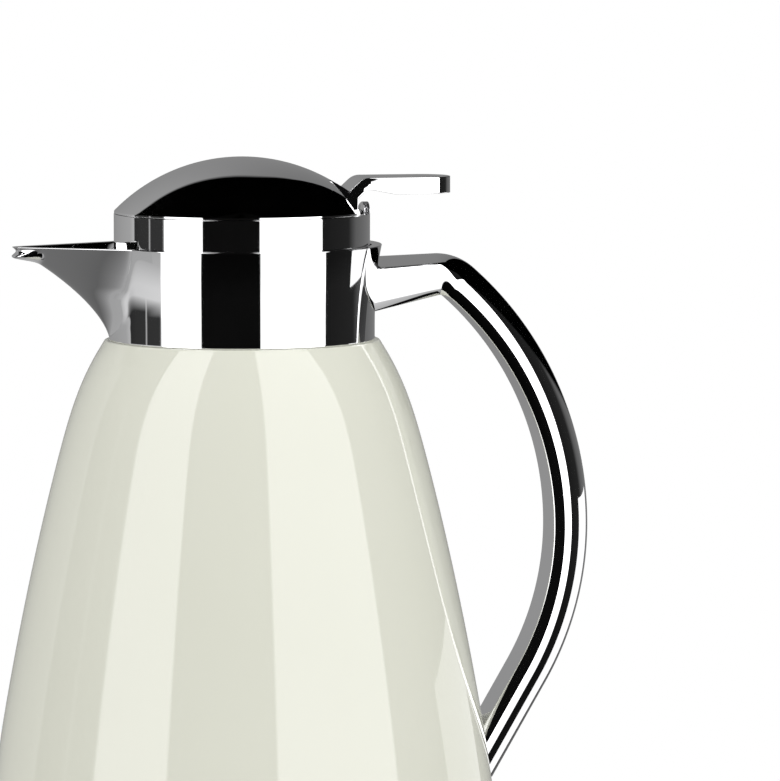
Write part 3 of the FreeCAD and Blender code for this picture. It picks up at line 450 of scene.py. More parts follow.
bow_rise = HANDLE_TOP_Z - HANDLE_ELBOW_R - HANDLE_MID_Z
bow_run = np.sqrt((HANDLE_UPPER_BOW_R - HANDLE_ELBOW_R) ** 2 - bow_rise ** 2)
elbow_x = HANDLE_REACH - HANDLE_UPPER_BOW_R + bow_run
bow_turn = np.arctan2(bow_rise, bow_run)
foot_turn = np.radians(HANDLE_FOOT_TURN)
root_share = np.linspace(0, 1, ROOT_STEPS)
root_line = np.stack([
    HANDLE_ROOT[0] + (elbow_x - HANDLE_ROOT[0]) * root_share,
    HANDLE_ROOT[1] + (HANDLE_TOP_Z - HANDLE_ROOT[1]) * root_share,
    np.full(ROOT_STEPS, np.pi / 2),
], axis=1)
elbow = bend((elbow_x, HANDLE_TOP_Z - HANDLE_ELBOW_R), HANDLE_ELBOW_R, np.pi / 2, bow_turn, 24)
upper_bow = bend((HANDLE_REACH - HANDLE_UPPER_BOW_R, HANDLE_MID_Z), HANDLE_UPPER_BOW_R, bow_turn, 0, 60)
lower_bow = bend((HANDLE_REACH - HANDLE_LOWER_BOW_R, HANDLE_MID_Z), HANDLE_LOWER_BOW_R, 0, -foot_turn, 40)
foot_share = np.linspace(0, 1, 16)[:, None]
foot_run = (lower_bow[-1, 0] - HANDLE_FOOT_X) / np.sin(foot_turn)
foot_way = np.array([-np.sin(foot_turn), -np.cos(foot_turn), 0]) * foot_run
foot_line = lower_bow[-1] + foot_share * foot_way
handle_line = np.concatenate([root_line, elbow[1:], upper_bow[1:], lower_bow[1:], foot_line[1:]])


def across(turns):
    """The whole section from one side's turns: the side, its mirror image and the flat towards the jug, with
    the height as a share from 0 inside to 1 outside."""
    near = bent(turns, SIDE_STEPS)
    near[:, 1] -= near[-1, 1]
    near[:, 0] /= near[-1, 0]
    both = np.concatenate([near, near[-2::-1] * (1, -1)])
    return np.concatenate([both, np.linspace(both[-1], both[0], 9)[1:-1]])


bow_thickness = bent(HANDLE_BOW_SIDE, SIDE_STEPS)[-1, 0]
handle_low = np.full(len(handle_line), HANDLE_OUT - bow_thickness)
handle_low[:ROOT_STEPS] = -HANDLE_ROOT_H / 2 + (handle_low[-1] + HANDLE_ROOT_H / 2) * root_share
handle_high = np.full(len(handle_line), HANDLE_OUT)
handle_high[:ROOT_STEPS] = HANDLE_ROOT_H / 2 + (HANDLE_OUT - HANDLE_ROOT_H / 2) * root_share
is_bow = np.clip((np.arange(len(handle_line)) - BOW_FROM_STATION) / BOW_OVER_STATIONS, 0, 1)
is_bow = (is_bow ** 2 * (3 - 2 * is_bow))[:, None, None]
section = across(HANDLE_ROOT_SIDE) * (1 - is_bow) + across(HANDLE_BOW_SIDE) * is_bow
lift = handle_low[:, None] + (handle_high - handle_low)[:, None] * section[..., 0]
handle_grid = np.stack([
    handle_line[:, None, 0] + lift * np.cos(handle_line[:, None, 2]),
    section[..., 1],
    handle_line[:, None, 1] + lift * np.sin(handle_line[:, None, 2]),
], axis=-1)
ends = handle_grid[[0, -1]].mean(axis=1, keepdims=True)
handle_grid = np.concatenate([
    np.broadcast_to(ends[:1], (1, *handle_grid.shape[1:])), handle_grid,
    np.broadcast_to(ends[1:], (1, *handle_grid.shape[1:])),
]).transpose(1, 0, 2)
piece("chrome_bow_handle", [(handle_grid, False)], "jug", chrome[0], ["handle"])
dress("handle_screws", brushed_steel)

# Stopper body with its gasket: the black moulded core of the closure. It screws into the neck sleeve with
# three short lugs, seals there with a white silicone ring, and lets the drink out by slots behind the spout.

dress("stopper_body", black_plastic)
dress("closure_gasket", white_silicone)

# Lid ring: a chrome-plated ring screwed down on the stopper body. It carries the hinge ears on a small deck
# at the rear, and a rounded tab behind them that covers the hinge.

RING_R = 41.0
RING_WALL = 2.0
RING_Z = 261.0
RING_TOP_Z = 272.5
RING_SHELF_BORE_R = 32.0
RING_SHELF_T = 2.0
RING_ROUNDS = (0.3, 0.2, 0.3, 0.4, 0.4, 0.3)
RING_SIDE_MARGIN = 1.0
RING_COLUMNS = 640
TAB_RISE = 3.2
TAB_ROUND_R = 8.0
TAB_FOOT = 1.0
TAB_EASE = 0.4
DECK_TOP_Z = 268.45
DECK_T = 1.5
DECK_FRONT_X = 31.5
DECK_R = 39.5
HINGE_X = 35.0
HINGE_Z = 271.0
EAR_R = 1.9
EAR_NEAR_Y = 9.4
EAR_T = 3.0
EAR_SINK = 0.7
EAR_EDGE = 0.3


def slab(outline, low, high, edge):
    """A flat outline in the middle plane given thickness from y low to y high. Towards each flat side the
    outline sinks along its own normal by a quarter round of the edge, and the side closes on its middle."""
    after = np.roll(outline, -1, axis=0)
    along = after - np.roll(outline, 1, axis=0)
    normal = np.stack([along[:, 1], -along[:, 0]], axis=1) / np.linalg.norm(along, axis=1)[:, None]
    twice_area = np.sum(outline[:, 0] * after[:, 1] - outline[:, 1] * after[:, 0])
    normal *= np.sign(twice_area)
    sink, drop = quarter(edge)
    sinks = np.concatenate([sink[::-1], sink])
    levels = np.concatenate([low + drop[::-1], high - drop])
    flat = outline[:, None, :] - normal[:, None, :] * sinks[None, :, None]
    middle = np.broadcast_to(outline.mean(axis=0), (len(outline), 1, 2))
    flat = np.concatenate([middle, flat, middle], axis=1)
    levels = np.concatenate([[low], levels, [high]])
    depth = np.broadcast_to(levels[None, :], flat.shape[:2])
    return np.stack([flat[..., 0], depth, flat[..., 1]], axis=-1)


ring_profile = eased([
    (RING_R, RING_Z), (RING_R, RING_TOP_Z), (RING_R - RING_WALL, RING_TOP_Z),
    (RING_R - RING_WALL, RING_Z + RING_SHELF_T), (RING_SHELF_BORE_R, RING_Z + RING_SHELF_T),
    (RING_SHELF_BORE_R, RING_Z),
], RING_ROUNDS)
ring_side = np.linspace((RING_R, RING_Z + RING_SIDE_MARGIN), (RING_R, RING_TOP_Z - RING_SIDE_MARGIN), 6)
ring_profile = np.insert(ring_profile, 6, ring_side, axis=0)
ring_grid = turned(ring_profile, RING_COLUMNS)
tab_arc = np.sqrt(np.clip(TAB_ROUND_R ** 2 - ring_grid[..., 1] ** 2, 0, None))
tab = np.clip(tab_arc - TAB_ROUND_R + TAB_RISE, 0, None)
tab *= (ring_grid[..., 0] > 0) * np.clip((ring_grid[..., 2] - RING_TOP_Z + TAB_FOOT) / TAB_EASE, 0, 1)
ring_grid[..., 2] += tab
deck_half = np.sqrt(DECK_R ** 2 - DECK_FRONT_X ** 2)
deck_y = deck_half * np.sin(np.linspace(-np.pi / 2, np.pi / 2, 65))[None, :]
deck_rear = np.sqrt(DECK_R ** 2 - deck_y ** 2)
deck_front = np.full_like(deck_y, DECK_FRONT_X)
deck_high = np.full_like(deck_y, DECK_TOP_Z)
deck_low = deck_high - DECK_T
deck_grid = np.stack([
    np.concatenate([deck_front, deck_rear, deck_rear, deck_front]),
    np.concatenate([deck_y] * 4),
    np.concatenate([deck_high, deck_high, deck_low, deck_low]),
], axis=-1)
ear_turn = np.linspace(0, np.pi, 24)
ear_outline = np.concatenate([
    np.stack([HINGE_X + EAR_R * np.cos(ear_turn), HINGE_Z + EAR_R * np.sin(ear_turn)], axis=1),
    [(HINGE_X - EAR_R, DECK_TOP_Z - EAR_SINK), (HINGE_X + EAR_R, DECK_TOP_Z - EAR_SINK)],
])
ring_grids = [(ring_grid, True), (deck_grid, False)]
for low in (EAR_NEAR_Y, -EAR_NEAR_Y - EAR_T):
    ring_grids.append((slab(ear_outline, low, low + EAR_T, EAR_EDGE), False))
piece("chrome_lid_ring", ring_grids, "closure", chrome[0], ["lid_ring"])
dress("closure_screws", brushed_steel)

# Hinge pin and return spring: a ground steel pin through ears and knuckles, with a wound wire spring on it
# that pushes the lid shut. One leg rests on the ring's deck and the other pushes on the lever, so it twists
# with the lid.

SPRING_WIRE_R = 0.4
SPRING_COIL_R = 1.85
SPRING_PITCH = 1.3
SPRING_TURNS = 6
SPRING_STEPS = 40
SPRING_REST_LEG = 2.2
SPRING_PUSH_LEG = 2.6


def wound(wire_r, around=14):
    """Round wire along a coil about the hinge, with a straight leg at each end. Along the coil the wire's
    section stands on the coil's radius and on the cross product of that and the wire's direction."""
    turn = np.linspace(0, 2 * np.pi * SPRING_TURNS, SPRING_STEPS * SPRING_TURNS + 1)
    out = np.stack([np.cos(turn), np.zeros_like(turn), np.sin(turn)], axis=1)
    climb = np.full_like(turn, SPRING_PITCH / (2 * np.pi * SPRING_COIL_R))
    along = np.stack([-np.sin(turn), climb, np.cos(turn)], axis=1)
    along /= np.linalg.norm(along, axis=1)[:, None]
    place = SPRING_COIL_R * out
    place[:, 1] = SPRING_PITCH * (turn / (2 * np.pi) - SPRING_TURNS / 2)
    place = np.concatenate([
        place[:1] - along[:1] * SPRING_REST_LEG, place, place[-1:] + along[-1:] * SPRING_PUSH_LEG,
    ]) + (HINGE_X, 0, HINGE_Z)
    out = np.concatenate([out[:1], out, out[-1:]])
    along = np.concatenate([along[:1], along, along[-1:]])
    beside = np.cross(along, out)
    angle = np.linspace(0, 2 * np.pi, around, endpoint=False)[:, None, None]
    tube = place + wire_r * (np.cos(angle) * out + np.sin(angle) * beside)
    ends = np.broadcast_to(place[[0, -1]], (around, 2, 3))
    return np.concatenate([ends[:, :1], tube, ends[:, 1:]], axis=1)


dress("hinge_pin", brushed_steel)
spring = piece(
    "wound_lid_spring", [(wound(SPRING_WIRE_R), False)], None, brushed_steel[0], ["lid_spring"],
)
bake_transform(spring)

# Lid dome: a chrome-plated dome, cut off aslant at the rear, where the thumb lever is screwed on from
# inside. A little above its rim a flat ceiling closes it here, and the inner lid covers that.

DOME_R = 40.9
DOME_Z = 272.8
DOME_FOOT_Z = 272.6
DOME_TOP_Z = 290.5
DOME_CROWN_R = 57.2
DOME_WALL = 1.8
DOME_CUT_X = 33.2
DOME_CUT_SLOPE = np.radians(60.0)
DOME_EDGE = 0.15
DOME_EDGE_SHARE = 0.8
DOME_RIM_EDGE = 0.15
DOME_RIM_LAND = 0.6
CEILING_SHARE = 0.93
CEILING_RISE = 3.2
CUT_COLUMNS = 121
ROUND_COLUMNS = 301

crown_z = DOME_TOP_Z - DOME_CROWN_R
rim_turn = np.arcsin(DOME_R / DOME_CROWN_R)
crown_turn = np.linspace(0, rim_turn, 3000)
crown_line = DOME_CROWN_R * np.stack([np.sin(crown_turn), np.cos(crown_turn)], axis=1) + (0, crown_z)
land_line = np.linspace(crown_line[-1], (DOME_R, DOME_FOOT_Z), 40)
dome_line = np.concatenate([crown_line, land_line[1:]])
dome_at = np.concatenate([[0], np.cumsum(np.linalg.norm(np.diff(dome_line, axis=0), axis=1))])
cut_lean = 1 / np.tan(DOME_CUT_SLOPE)
cut_turn = np.arccos(DOME_CUT_X / DOME_R)
dome_turn = np.concatenate([
    np.linspace(-cut_turn, cut_turn, CUT_COLUMNS),
    np.linspace(cut_turn, 2 * np.pi - cut_turn, ROUND_COLUMNS)[1:-1],
])
is_cut = np.arange(len(dome_turn)) < CUT_COLUMNS
cut_at = DOME_CUT_X - (dome_line[None, :, 1] - DOME_Z) * cut_lean
over = np.cos(dome_turn)[:, None] * dome_line[None, :, 0] > cut_at
stop = np.where(is_cut & over.any(axis=1), dome_at[np.argmax(over, axis=1)], dome_at[-1])


def on_dome(at):
    """Points on the dome at lengths along its side, one row for each direction."""
    radius = np.interp(at, dome_at, dome_line[:, 0])
    level = np.interp(at, dome_at, dome_line[:, 1])
    turn = dome_turn[:, None]
    return np.stack([radius * np.cos(turn), radius * np.sin(turn), level], axis=-1)


corner = on_dome(stop[:, None])[:, 0]
outward = np.stack([np.cos(dome_turn), np.sin(dome_turn), np.zeros_like(dome_turn)], axis=1)
cut_foot = np.stack([
    np.full_like(dome_turn, DOME_CUT_X), corner[:, 1], np.full_like(dome_turn, DOME_Z),
], axis=1)
cut_way = np.array([np.cos(DOME_CUT_SLOPE), 0, -np.sin(DOME_CUT_SLOPE)])
foot = np.where(is_cut[:, None], cut_foot, corner - outward * DOME_RIM_LAND)
face_way = np.where(is_cut[:, None], cut_way, -outward)
cut_run = np.linalg.norm(foot - corner, axis=1)
edge_length = np.where(is_cut, np.minimum(DOME_EDGE, cut_run * DOME_EDGE_SHARE), DOME_RIM_EDGE)
cap = on_dome((stop - edge_length)[:, None] * np.linspace(0, 1, 90)[None, :])
after = corner + face_way * edge_length[:, None]
t = np.linspace(0, 1, 7)[None, 1:, None]
roll = (1 - t) ** 2 * cap[:, -1:] + 2 * t * (1 - t) * corner[:, None] + t ** 2 * after[:, None]
face = after[:, None] + (foot - after)[:, None] * np.linspace(0, 1, 8)[None, 1:, None]
inner_rim = np.stack([
    (DOME_R - DOME_WALL) * np.cos(dome_turn), (DOME_R - DOME_WALL) * np.sin(dome_turn), foot[:, 2],
], axis=1)
cut_wall = foot - np.array([DOME_WALL / np.sin(DOME_CUT_SLOPE), 0, 0])
wall = np.where(is_cut[:, None], cut_wall, inner_rim)
ceiling = wall * np.array([CEILING_SHARE, CEILING_SHARE, 1]) + np.array([0, 0, CEILING_RISE])
middle = np.broadcast_to(np.array([0, 0, DOME_Z + CEILING_RISE]), (len(dome_turn), 1, 3))
dome_grid = np.concatenate([cap, roll, face, wall[:, None], ceiling[:, None], middle], axis=1)
piece("chrome_dome_lid", [(dome_grid, False)], "lid", chrome[0], ["lid_dome"])

# Thumb lever: a chrome-plated casting, a wedge that completes the dome behind its slanted face, a rising
# neck and a flat tongue for the thumb. Two knuckles under the wedge turn on the hinge pin.

LEVER_W = 20.0
LEVER_TOP_Z = 283.8
LEVER_BEND_X = 37.8
LEVER_SLOPE = 43.0
LEVER_NECK_T = 3.6
LEVER_REAR_X = 36.0
LEVER_LOW_Z = 273.4
LEVER_END_X = 67.7
LEVER_TONGUE_X = 48.0
LEVER_TONGUE_T = 5.3
LEVER_CORNER_R = 9.4
LEVER_EDGE = 0.25
LEVER_TAPER = 0.09
LEVER_FLANK_X = 42.4
LEVER_FLANK_LEAN = 1.33
LEVER_NECK_START = 0.35
LEVER_BEND_ROUND = 2.2
LEVER_UNDER_ROUND = 1.6
KNUCKLE_R = 2.2
KNUCKLE_NEAR_Y = 5.2
KNUCKLE_FAR_Y = 9.0
KNUCKLE_REAR_RISE = 0.8
KNUCKLE_FRONT = 1.1
KNUCKLE_SINK = 1.2
KNUCKLE_EDGE = 0.3
FLANK_ROWS = np.array([0.04, 0.2, 0.4, 0.6, 0.8, 0.96])
TOP_FACE_POINTS = 24


def ribbon(top, low, half_w, edge):
    """Sections along a bar that lies in the middle plane. A station has its upper and its lower point and
    half its width. Its section is the rectangle between them, with quarter rounds at the corners, and begins
    with the points of the upper face. The ends are closed."""
    turn = np.concatenate([np.linspace(k, k + 1, 5) for k in range(4)])[None, :] * np.pi / 2
    side_y = np.repeat([1, -1, -1, 1], 5)[None, :]
    side_low = np.repeat([0, 0, 1, 1], 5)[None, :]
    depth_way = low - top
    length = np.linalg.norm(depth_way, axis=1)[:, None]
    width = half_w[:, None] - edge
    y = side_y * width + edge * np.cos(turn)
    depth = side_low * (length - 2 * edge) + edge * (1 - np.sin(turn))
    crest = np.linspace(1, -1, 16)[None, 1:-1] * width
    beside = FLANK_ROWS[None, :] * (length - 2 * edge) + edge
    wide = np.broadcast_to(half_w[:, None], beside.shape)
    y = np.concatenate([y[:, :5], crest, y[:, 5:10], -wide, y[:, 10:15], -crest, y[:, 15:], wide], axis=1)
    depth = np.concatenate([
        depth[:, :5], np.zeros_like(crest), depth[:, 5:10], beside, depth[:, 10:15],
        np.broadcast_to(length, crest.shape), depth[:, 15:], beside[:, ::-1],
    ], axis=1)
    flat = top[:, None, :] + (depth_way / length)[:, None, :] * depth[..., None]
    grid = np.stack([flat[..., 0], y, flat[..., 1]], axis=-1)
    ends = np.broadcast_to(grid[[0, -1]].mean(axis=1, keepdims=True), (2, *grid.shape[1:]))
    return np.concatenate([ends[:1], grid, ends[1:]]).transpose(1, 0, 2)


lever_rise = np.tan(np.radians(LEVER_SLOPE))
lever_drop = LEVER_NECK_T / np.cos(np.radians(LEVER_SLOPE))
under_z = LEVER_TOP_Z - LEVER_NECK_T
neck_end_x = LEVER_BEND_X + (under_z - LEVER_TOP_Z + lever_drop) / lever_rise
rear_under_z = LEVER_TOP_Z + (LEVER_REAR_X - LEVER_BEND_X) * lever_rise - lever_drop
offset = LEVER_TOP_Z - crown_z - LEVER_BEND_X * lever_rise
slope_share = 1 + lever_rise ** 2
foot_x = (-lever_rise * offset + np.sqrt(DOME_CROWN_R ** 2 * slope_share - offset ** 2)) / slope_share
cut_reach = DOME_CUT_X + (DOME_Z - crown_z) * cut_lean
cut_depth = cut_reach * np.sin(DOME_CUT_SLOPE)
front_rise = np.cos(DOME_CUT_SLOPE) * cut_depth
front_rise += np.sin(DOME_CUT_SLOPE) * np.sqrt(DOME_CROWN_R ** 2 - cut_depth ** 2)
front_x = cut_reach - front_rise * cut_lean
crown_x = np.linspace(front_x, foot_x, 16)
crown_part = np.stack([crown_x, crown_z + np.sqrt(DOME_CROWN_R ** 2 - crown_x ** 2)], axis=1)
bend_point = np.array([LEVER_BEND_X, LEVER_TOP_Z])
neck_start = crown_part[-1] + LEVER_NECK_START * (bend_point - crown_part[-1])
corner_turn = np.linspace(0, np.pi / 2, 24)
tongue_x = LEVER_END_X - LEVER_CORNER_R * (1 - np.sin(corner_turn))
tongue_x = np.concatenate([np.linspace(LEVER_TONGUE_X, tongue_x[0], 12)[1:-1], tongue_x])
past_end = np.clip(tongue_x - LEVER_END_X + LEVER_CORNER_R, 0, LEVER_CORNER_R)
past_edge = np.clip(tongue_x - LEVER_END_X + LEVER_EDGE, 0, LEVER_EDGE)
end_edge = LEVER_EDGE - np.sqrt(LEVER_EDGE ** 2 - past_edge ** 2)
top_line = np.concatenate([
    crown_part,
    np.linspace(crown_part[-1], neck_start, 9)[1:],
    eased([neck_start, bend_point, (LEVER_TONGUE_X, LEVER_TOP_Z)], (0, LEVER_BEND_ROUND, 0), 12)[1:],
    np.stack([tongue_x, LEVER_TOP_Z - end_edge], axis=1),
])
slant_foot = (DOME_CUT_X - (LEVER_LOW_Z - DOME_Z) * cut_lean, LEVER_LOW_Z)
rear_foot = (LEVER_REAR_X, LEVER_LOW_Z)
rear_head = (LEVER_REAR_X, rear_under_z)
neck_end = (neck_end_x, under_z)
tongue_low_z = LEVER_TOP_Z - LEVER_TONGUE_T
low_line = np.concatenate([
    np.linspace(slant_foot, rear_foot, 16),
    np.linspace(rear_foot, rear_head, 9)[1:],
    eased([rear_head, neck_end, (LEVER_TONGUE_X, tongue_low_z)], (0, LEVER_UNDER_ROUND, 0), 12)[1:],
    np.stack([tongue_x, tongue_low_z + end_edge], axis=1),
])
half_w = np.full(len(top_line), LEVER_W / 2)
half_w[-len(tongue_x):] -= LEVER_CORNER_R - np.sqrt(LEVER_CORNER_R ** 2 - past_end ** 2)
lever_grid = ribbon(top_line, low_line, half_w, LEVER_EDGE)
flank_end = LEVER_FLANK_X - LEVER_FLANK_LEAN * (LEVER_TOP_Z - lever_grid[..., 2])
taper = LEVER_TAPER * np.clip(np.maximum(flank_end, LEVER_BEND_X) - lever_grid[..., 0], 0, None)
lever_grid[..., 1] *= 1 - taper / (LEVER_W / 2)
crown_r2 = np.maximum(DOME_CROWN_R ** 2 - lever_grid[..., 0] ** 2, LEVER_W ** 2)
sag = np.sqrt(crown_r2) - np.sqrt(crown_r2 - lever_grid[..., 1] ** 2)
sag[:, len(crown_part) + 1:] = 0
lever_grid[:TOP_FACE_POINTS, :, 2] -= sag[:TOP_FACE_POINTS]
knuckle_turn = np.linspace(np.pi, 2 * np.pi, 24)
knuckle_arc = KNUCKLE_R * np.stack([np.cos(knuckle_turn), np.sin(knuckle_turn)], axis=1)
knuckle_top_z = LEVER_LOW_Z + KNUCKLE_SINK
knuckle_outline = np.concatenate([
    knuckle_arc + (HINGE_X, HINGE_Z),
    [(HINGE_X + KNUCKLE_R, HINGE_Z + KNUCKLE_REAR_RISE)],
    [(LEVER_REAR_X, knuckle_top_z), (HINGE_X - KNUCKLE_FRONT, knuckle_top_z)],
])
lever_grids = [(lever_grid, False)]
knuckle_w = KNUCKLE_FAR_Y - KNUCKLE_NEAR_Y
for low in (KNUCKLE_NEAR_Y, -KNUCKLE_FAR_Y):
    lever_grids.append((slab(knuckle_outline, low, low + knuckle_w, KNUCKLE_EDGE), False))
piece("chrome_thumb_lever", lever_grids, "lid", chrome[0], ["thumb_lever"])
dress("lever_screws", brushed_steel)

# Inner lid and valve: a black moulded liner in the dome whose stem carries the valve disc, with its silicone
# seal and a steel screw from below.

dress("dome_liner", black_plastic)
dress("pour_plug", black_plastic)
dress("plug_gasket", white_silicone)
dress("plug_screw", brushed_steel)

# Studio, in metres: a white sweep, which the camera sees. Reflections see tall soft boxes left and right of
# the camera with dark flags between them, an arched grey wall behind, and a white card and a grey sheet on
# the ground. The camera stands a little towards the spout and above the lid.

CAMERA_TURN = np.radians(9.6)
CAMERA_FROM_AXIS = 1.9
CAMERA_HEIGHT = 0.389
CAMERA_LENS = 274.0
AIM_RIGHT = 0.0474
AIM_HEIGHT = 0.2153
towards_camera = (-np.sin(CAMERA_TURN), -np.cos(CAMERA_TURN), 0.0)
camera_right = (np.cos(CAMERA_TURN), -np.sin(CAMERA_TURN), 0.0)
SOFTBOX = 3.0
STRIPES = (
    (-180, 0.25), (-150, 0.33), (-120, 0.40), (-104, 0.68), (-74, 0.74), (-73, SOFTBOX), (-36, SOFTBOX),
    (-35.5, 0.004), (16, 0.004), (16.5, SOFTBOX), (76, SOFTBOX), (77, 0.012), (112, 0.02), (125, 0.12),
    (160, 0.20), (180, 0.25),
)
ARCH_TOP = 0.778
ARCH_LEFT = (38.0, 0.617, 2)
ARCH_RIGHT = (19.5, 0.63, 3)
LOWER_WALLS = (
    (-138, 0.54), (-120, 0.45), (-74, 0.45), (-73, 0.93), (76, 0.93), (77, 0.60), (158.5, 0.0),
)
FLAG = (
    (-180, 0.0), (-113.5, 0.0), (-112.5, 0.95), (-92.5, 0.95), (-92, 0.3), (-91, 0.3), (-90.5, 0.95),
    (-75, 0.95), (-74, 0.0), (180, 0.0),
)
FLAG_LOW = 0.16
BANDS = ((0.0, 0.10), (0.2, 0.4), (0.34, 0.65), (0.40, 1.0), (1.0, 1.0))
EDGE_SHARPNESS = 25.0
DARK_ABOVE = 0.0005
ROOM_LIGHT = 0.90

camera = bpy.data.objects.new("camera", bpy.data.cameras.new("camera"))
bpy.context.scene.collection.objects.link(camera)
bpy.context.scene.camera = camera
camera.data.sensor_width = 36.0
camera.data.lens = CAMERA_LENS
camera.data.clip_start = 0.05
camera.data.clip_end = 50.0
camera.location = Vector(towards_camera) * CAMERA_FROM_AXIS + Vector((0, 0, CAMERA_HEIGHT))
aim = Vector(camera_right) * AIM_RIGHT + Vector((0, 0, AIM_HEIGHT))
camera.rotation_euler = (aim - camera.location).to_track_quat("-Z", "Y").to_euler()

world = bpy.data.worlds.new("studio")
bpy.context.scene.world = world
world.use_nodes = True
tree = world.node_tree
tree.nodes.clear()


def studio_node(kind, *inputs, **settings):
    """A node of the studio with its inputs set or linked in order."""
    node = tree.nodes.new(kind)
    for name, value in settings.items():
        setattr(node, name, value)
    for socket, value in zip(node.inputs, inputs):
        if isinstance(value, bpy.types.NodeSocket):
            tree.links.new(value, socket)
        elif value is not None:
            socket.default_value = value
    return node


def set_stops(ramp, stops):
    """A colour ramp takes grey stops, each a position from 0 to 1 and a level."""
    while len(ramp.color_ramp.elements) < len(stops):
        ramp.color_ramp.elements.new(0.5)
    for element, (position, level) in zip(ramp.color_ramp.elements, stops):
        element.position = position
        element.color = (level, level, level, 1)
    return ramp.outputs["Color"]


def round_about(stops):
    """A level that follows the bearing through stops in degrees from the camera towards its right."""
    ramp = studio_node("ShaderNodeValToRGB", bearing)
    return set_stops(ramp, [((degrees + 180) / 360, level) for degrees, level in stops])


def arch(span, foot, power):
    """One side of the grey wall's top as (degrees from its middle, sine of its height) rows. It falls from
    the top to the foot with the given power of the share of the span."""
    share = np.linspace(0, 1, 7)
    return np.stack([span * share, ARCH_TOP - (ARCH_TOP - foot) * share ** power], axis=1)


look = studio_node("ShaderNodeTexCoord").outputs["Generated"]
ahead = studio_node("ShaderNodeVectorMath", look, towards_camera, operation="DOT_PRODUCT").outputs["Value"]
aside = studio_node("ShaderNodeVectorMath", look, camera_right, operation="DOT_PRODUCT").outputs["Value"]
bearing = studio_node("ShaderNodeMath", aside, ahead, operation="ARCTAN2").outputs[0]
bearing = studio_node("ShaderNodeMath", bearing, 1 / (2 * np.pi), 0.5, operation="MULTIPLY_ADD").outputs[0]
stripes = round_about([(degrees, level / SOFTBOX) for degrees, level in STRIPES])
left_arch = arch(*ARCH_LEFT) + (-180, 0)
right_arch = arch(*ARCH_RIGHT)[::-1] * (-1, 1) + (180, 0)
wall_top = round_about(np.concatenate([left_arch, LOWER_WALLS, right_arch]))
height = studio_node("ShaderNodeSeparateXYZ", look).outputs["Z"]
below_top = studio_node("ShaderNodeMath", wall_top, height, operation="SUBTRACT").outputs[0]
below_top = studio_node(
    "ShaderNodeMath", below_top, EDGE_SHARPNESS, 0.5, operation="MULTIPLY_ADD", use_clamp=True,
).outputs[0]
under = studio_node("ShaderNodeMath", height, 0.5, 0.5, operation="MULTIPLY_ADD").outputs[0]
bands = set_stops(studio_node("ShaderNodeValToRGB", under), BANDS)
walls = studio_node(
    "ShaderNodeMath", below_top, 1 - DARK_ABOVE, DARK_ABOVE, operation="MULTIPLY_ADD",
).outputs[0]
flag = round_about(FLAG)
above_edge = studio_node(
    "ShaderNodeMath", height, EDGE_SHARPNESS, EDGE_SHARPNESS * FLAG_LOW,
    operation="MULTIPLY_ADD", use_clamp=True,
).outputs[0]
held = studio_node("ShaderNodeMath", flag, above_edge, operation="MULTIPLY").outputs[0]
let_through = studio_node("ShaderNodeMath", 1.0, held, operation="SUBTRACT").outputs[0]
levels = studio_node("ShaderNodeMath", walls, bands, operation="MULTIPLY").outputs[0]
levels = studio_node("ShaderNodeMath", levels, let_through, operation="MULTIPLY").outputs[0]
softboxes = studio_node("ShaderNodeMix", 1.0, data_type="RGBA", blend_type="MULTIPLY")
tree.links.new(stripes, softboxes.inputs["A"])
tree.links.new(levels, softboxes.inputs["B"])
rays = studio_node("ShaderNodeLightPath")
seen = studio_node("ShaderNodeBackground", (1, 1, 1, 1), 1.0).outputs[0]
soft = studio_node("ShaderNodeBackground", (1, 1, 1, 1), ROOM_LIGHT).outputs[0]
mirrored = studio_node("ShaderNodeBackground", softboxes.outputs["Result"], SOFTBOX).outputs[0]
lit = studio_node("ShaderNodeMixShader", rays.outputs["Is Glossy Ray"], soft, mirrored).outputs[0]
shown = studio_node("ShaderNodeMixShader", rays.outputs["Is Camera Ray"], lit, seen).outputs[0]
studio_node("ShaderNodeOutputWorld", shown)

FLOOR_R = 0.8
FLOOR_STEPS = 96
FLOOR_FADE_FROM = 0.22
FLOOR_FADE_TO = 0.50
floor_mesh = bpy.data.meshes.new("floor")
floor_turn = np.linspace(0, 2 * np.pi, FLOOR_STEPS, endpoint=False)
floor_points = FLOOR_R * np.stack([np.cos(floor_turn), np.sin(floor_turn), np.zeros(FLOOR_STEPS)], axis=1)
floor_mesh.from_pydata(floor_points.tolist(), [], [list(range(FLOOR_STEPS))])
floor = bpy.data.objects.new("floor", floor_mesh)
bpy.context.scene.collection.objects.link(floor)
floor.visible_glossy = False
white_sweep = plain_finish("white_sweep", 0.9)
sweep, sweep_shader, add, link = white_sweep
mottled(white_sweep, (0.86, 0.86, 0.86), (0.88, 0.88, 0.88), 3.0)
sweep_shader.inputs["Specular IOR Level"].default_value = 0.0
place = add("ShaderNodeTexCoord")
distance = add("ShaderNodeVectorMath")
distance.operation = "LENGTH"
fade = add("ShaderNodeMapRange", From_Min=FLOOR_FADE_FROM, From_Max=FLOOR_FADE_TO)
fade.interpolation_type = "SMOOTHSTEP"
paper = add("ShaderNodeEmission", Color=(1, 1, 1, 1), Strength=1.0)
view_rays = add("ShaderNodeLightPath")
seen_far = add("ShaderNodeMath")
seen_far.operation = "MULTIPLY"
blend = add("ShaderNodeMixShader")
link(place.outputs["Object"], distance.inputs[0])
link(distance.outputs["Value"], fade.inputs["Value"])
link(fade.outputs["Result"], seen_far.inputs[0])
link(view_rays.outputs["Is Camera Ray"], seen_far.inputs[1])
link(seen_far.outputs[0], blend.inputs["Fac"])
link(sweep_shader.outputs["BSDF"], blend.inputs[1])
link(paper.outputs["Emission"], blend.inputs[2])
link(blend.outputs["Shader"], sweep.node_tree.nodes["Material Output"].inputs["Surface"])
floor_mesh.materials.append(sweep)

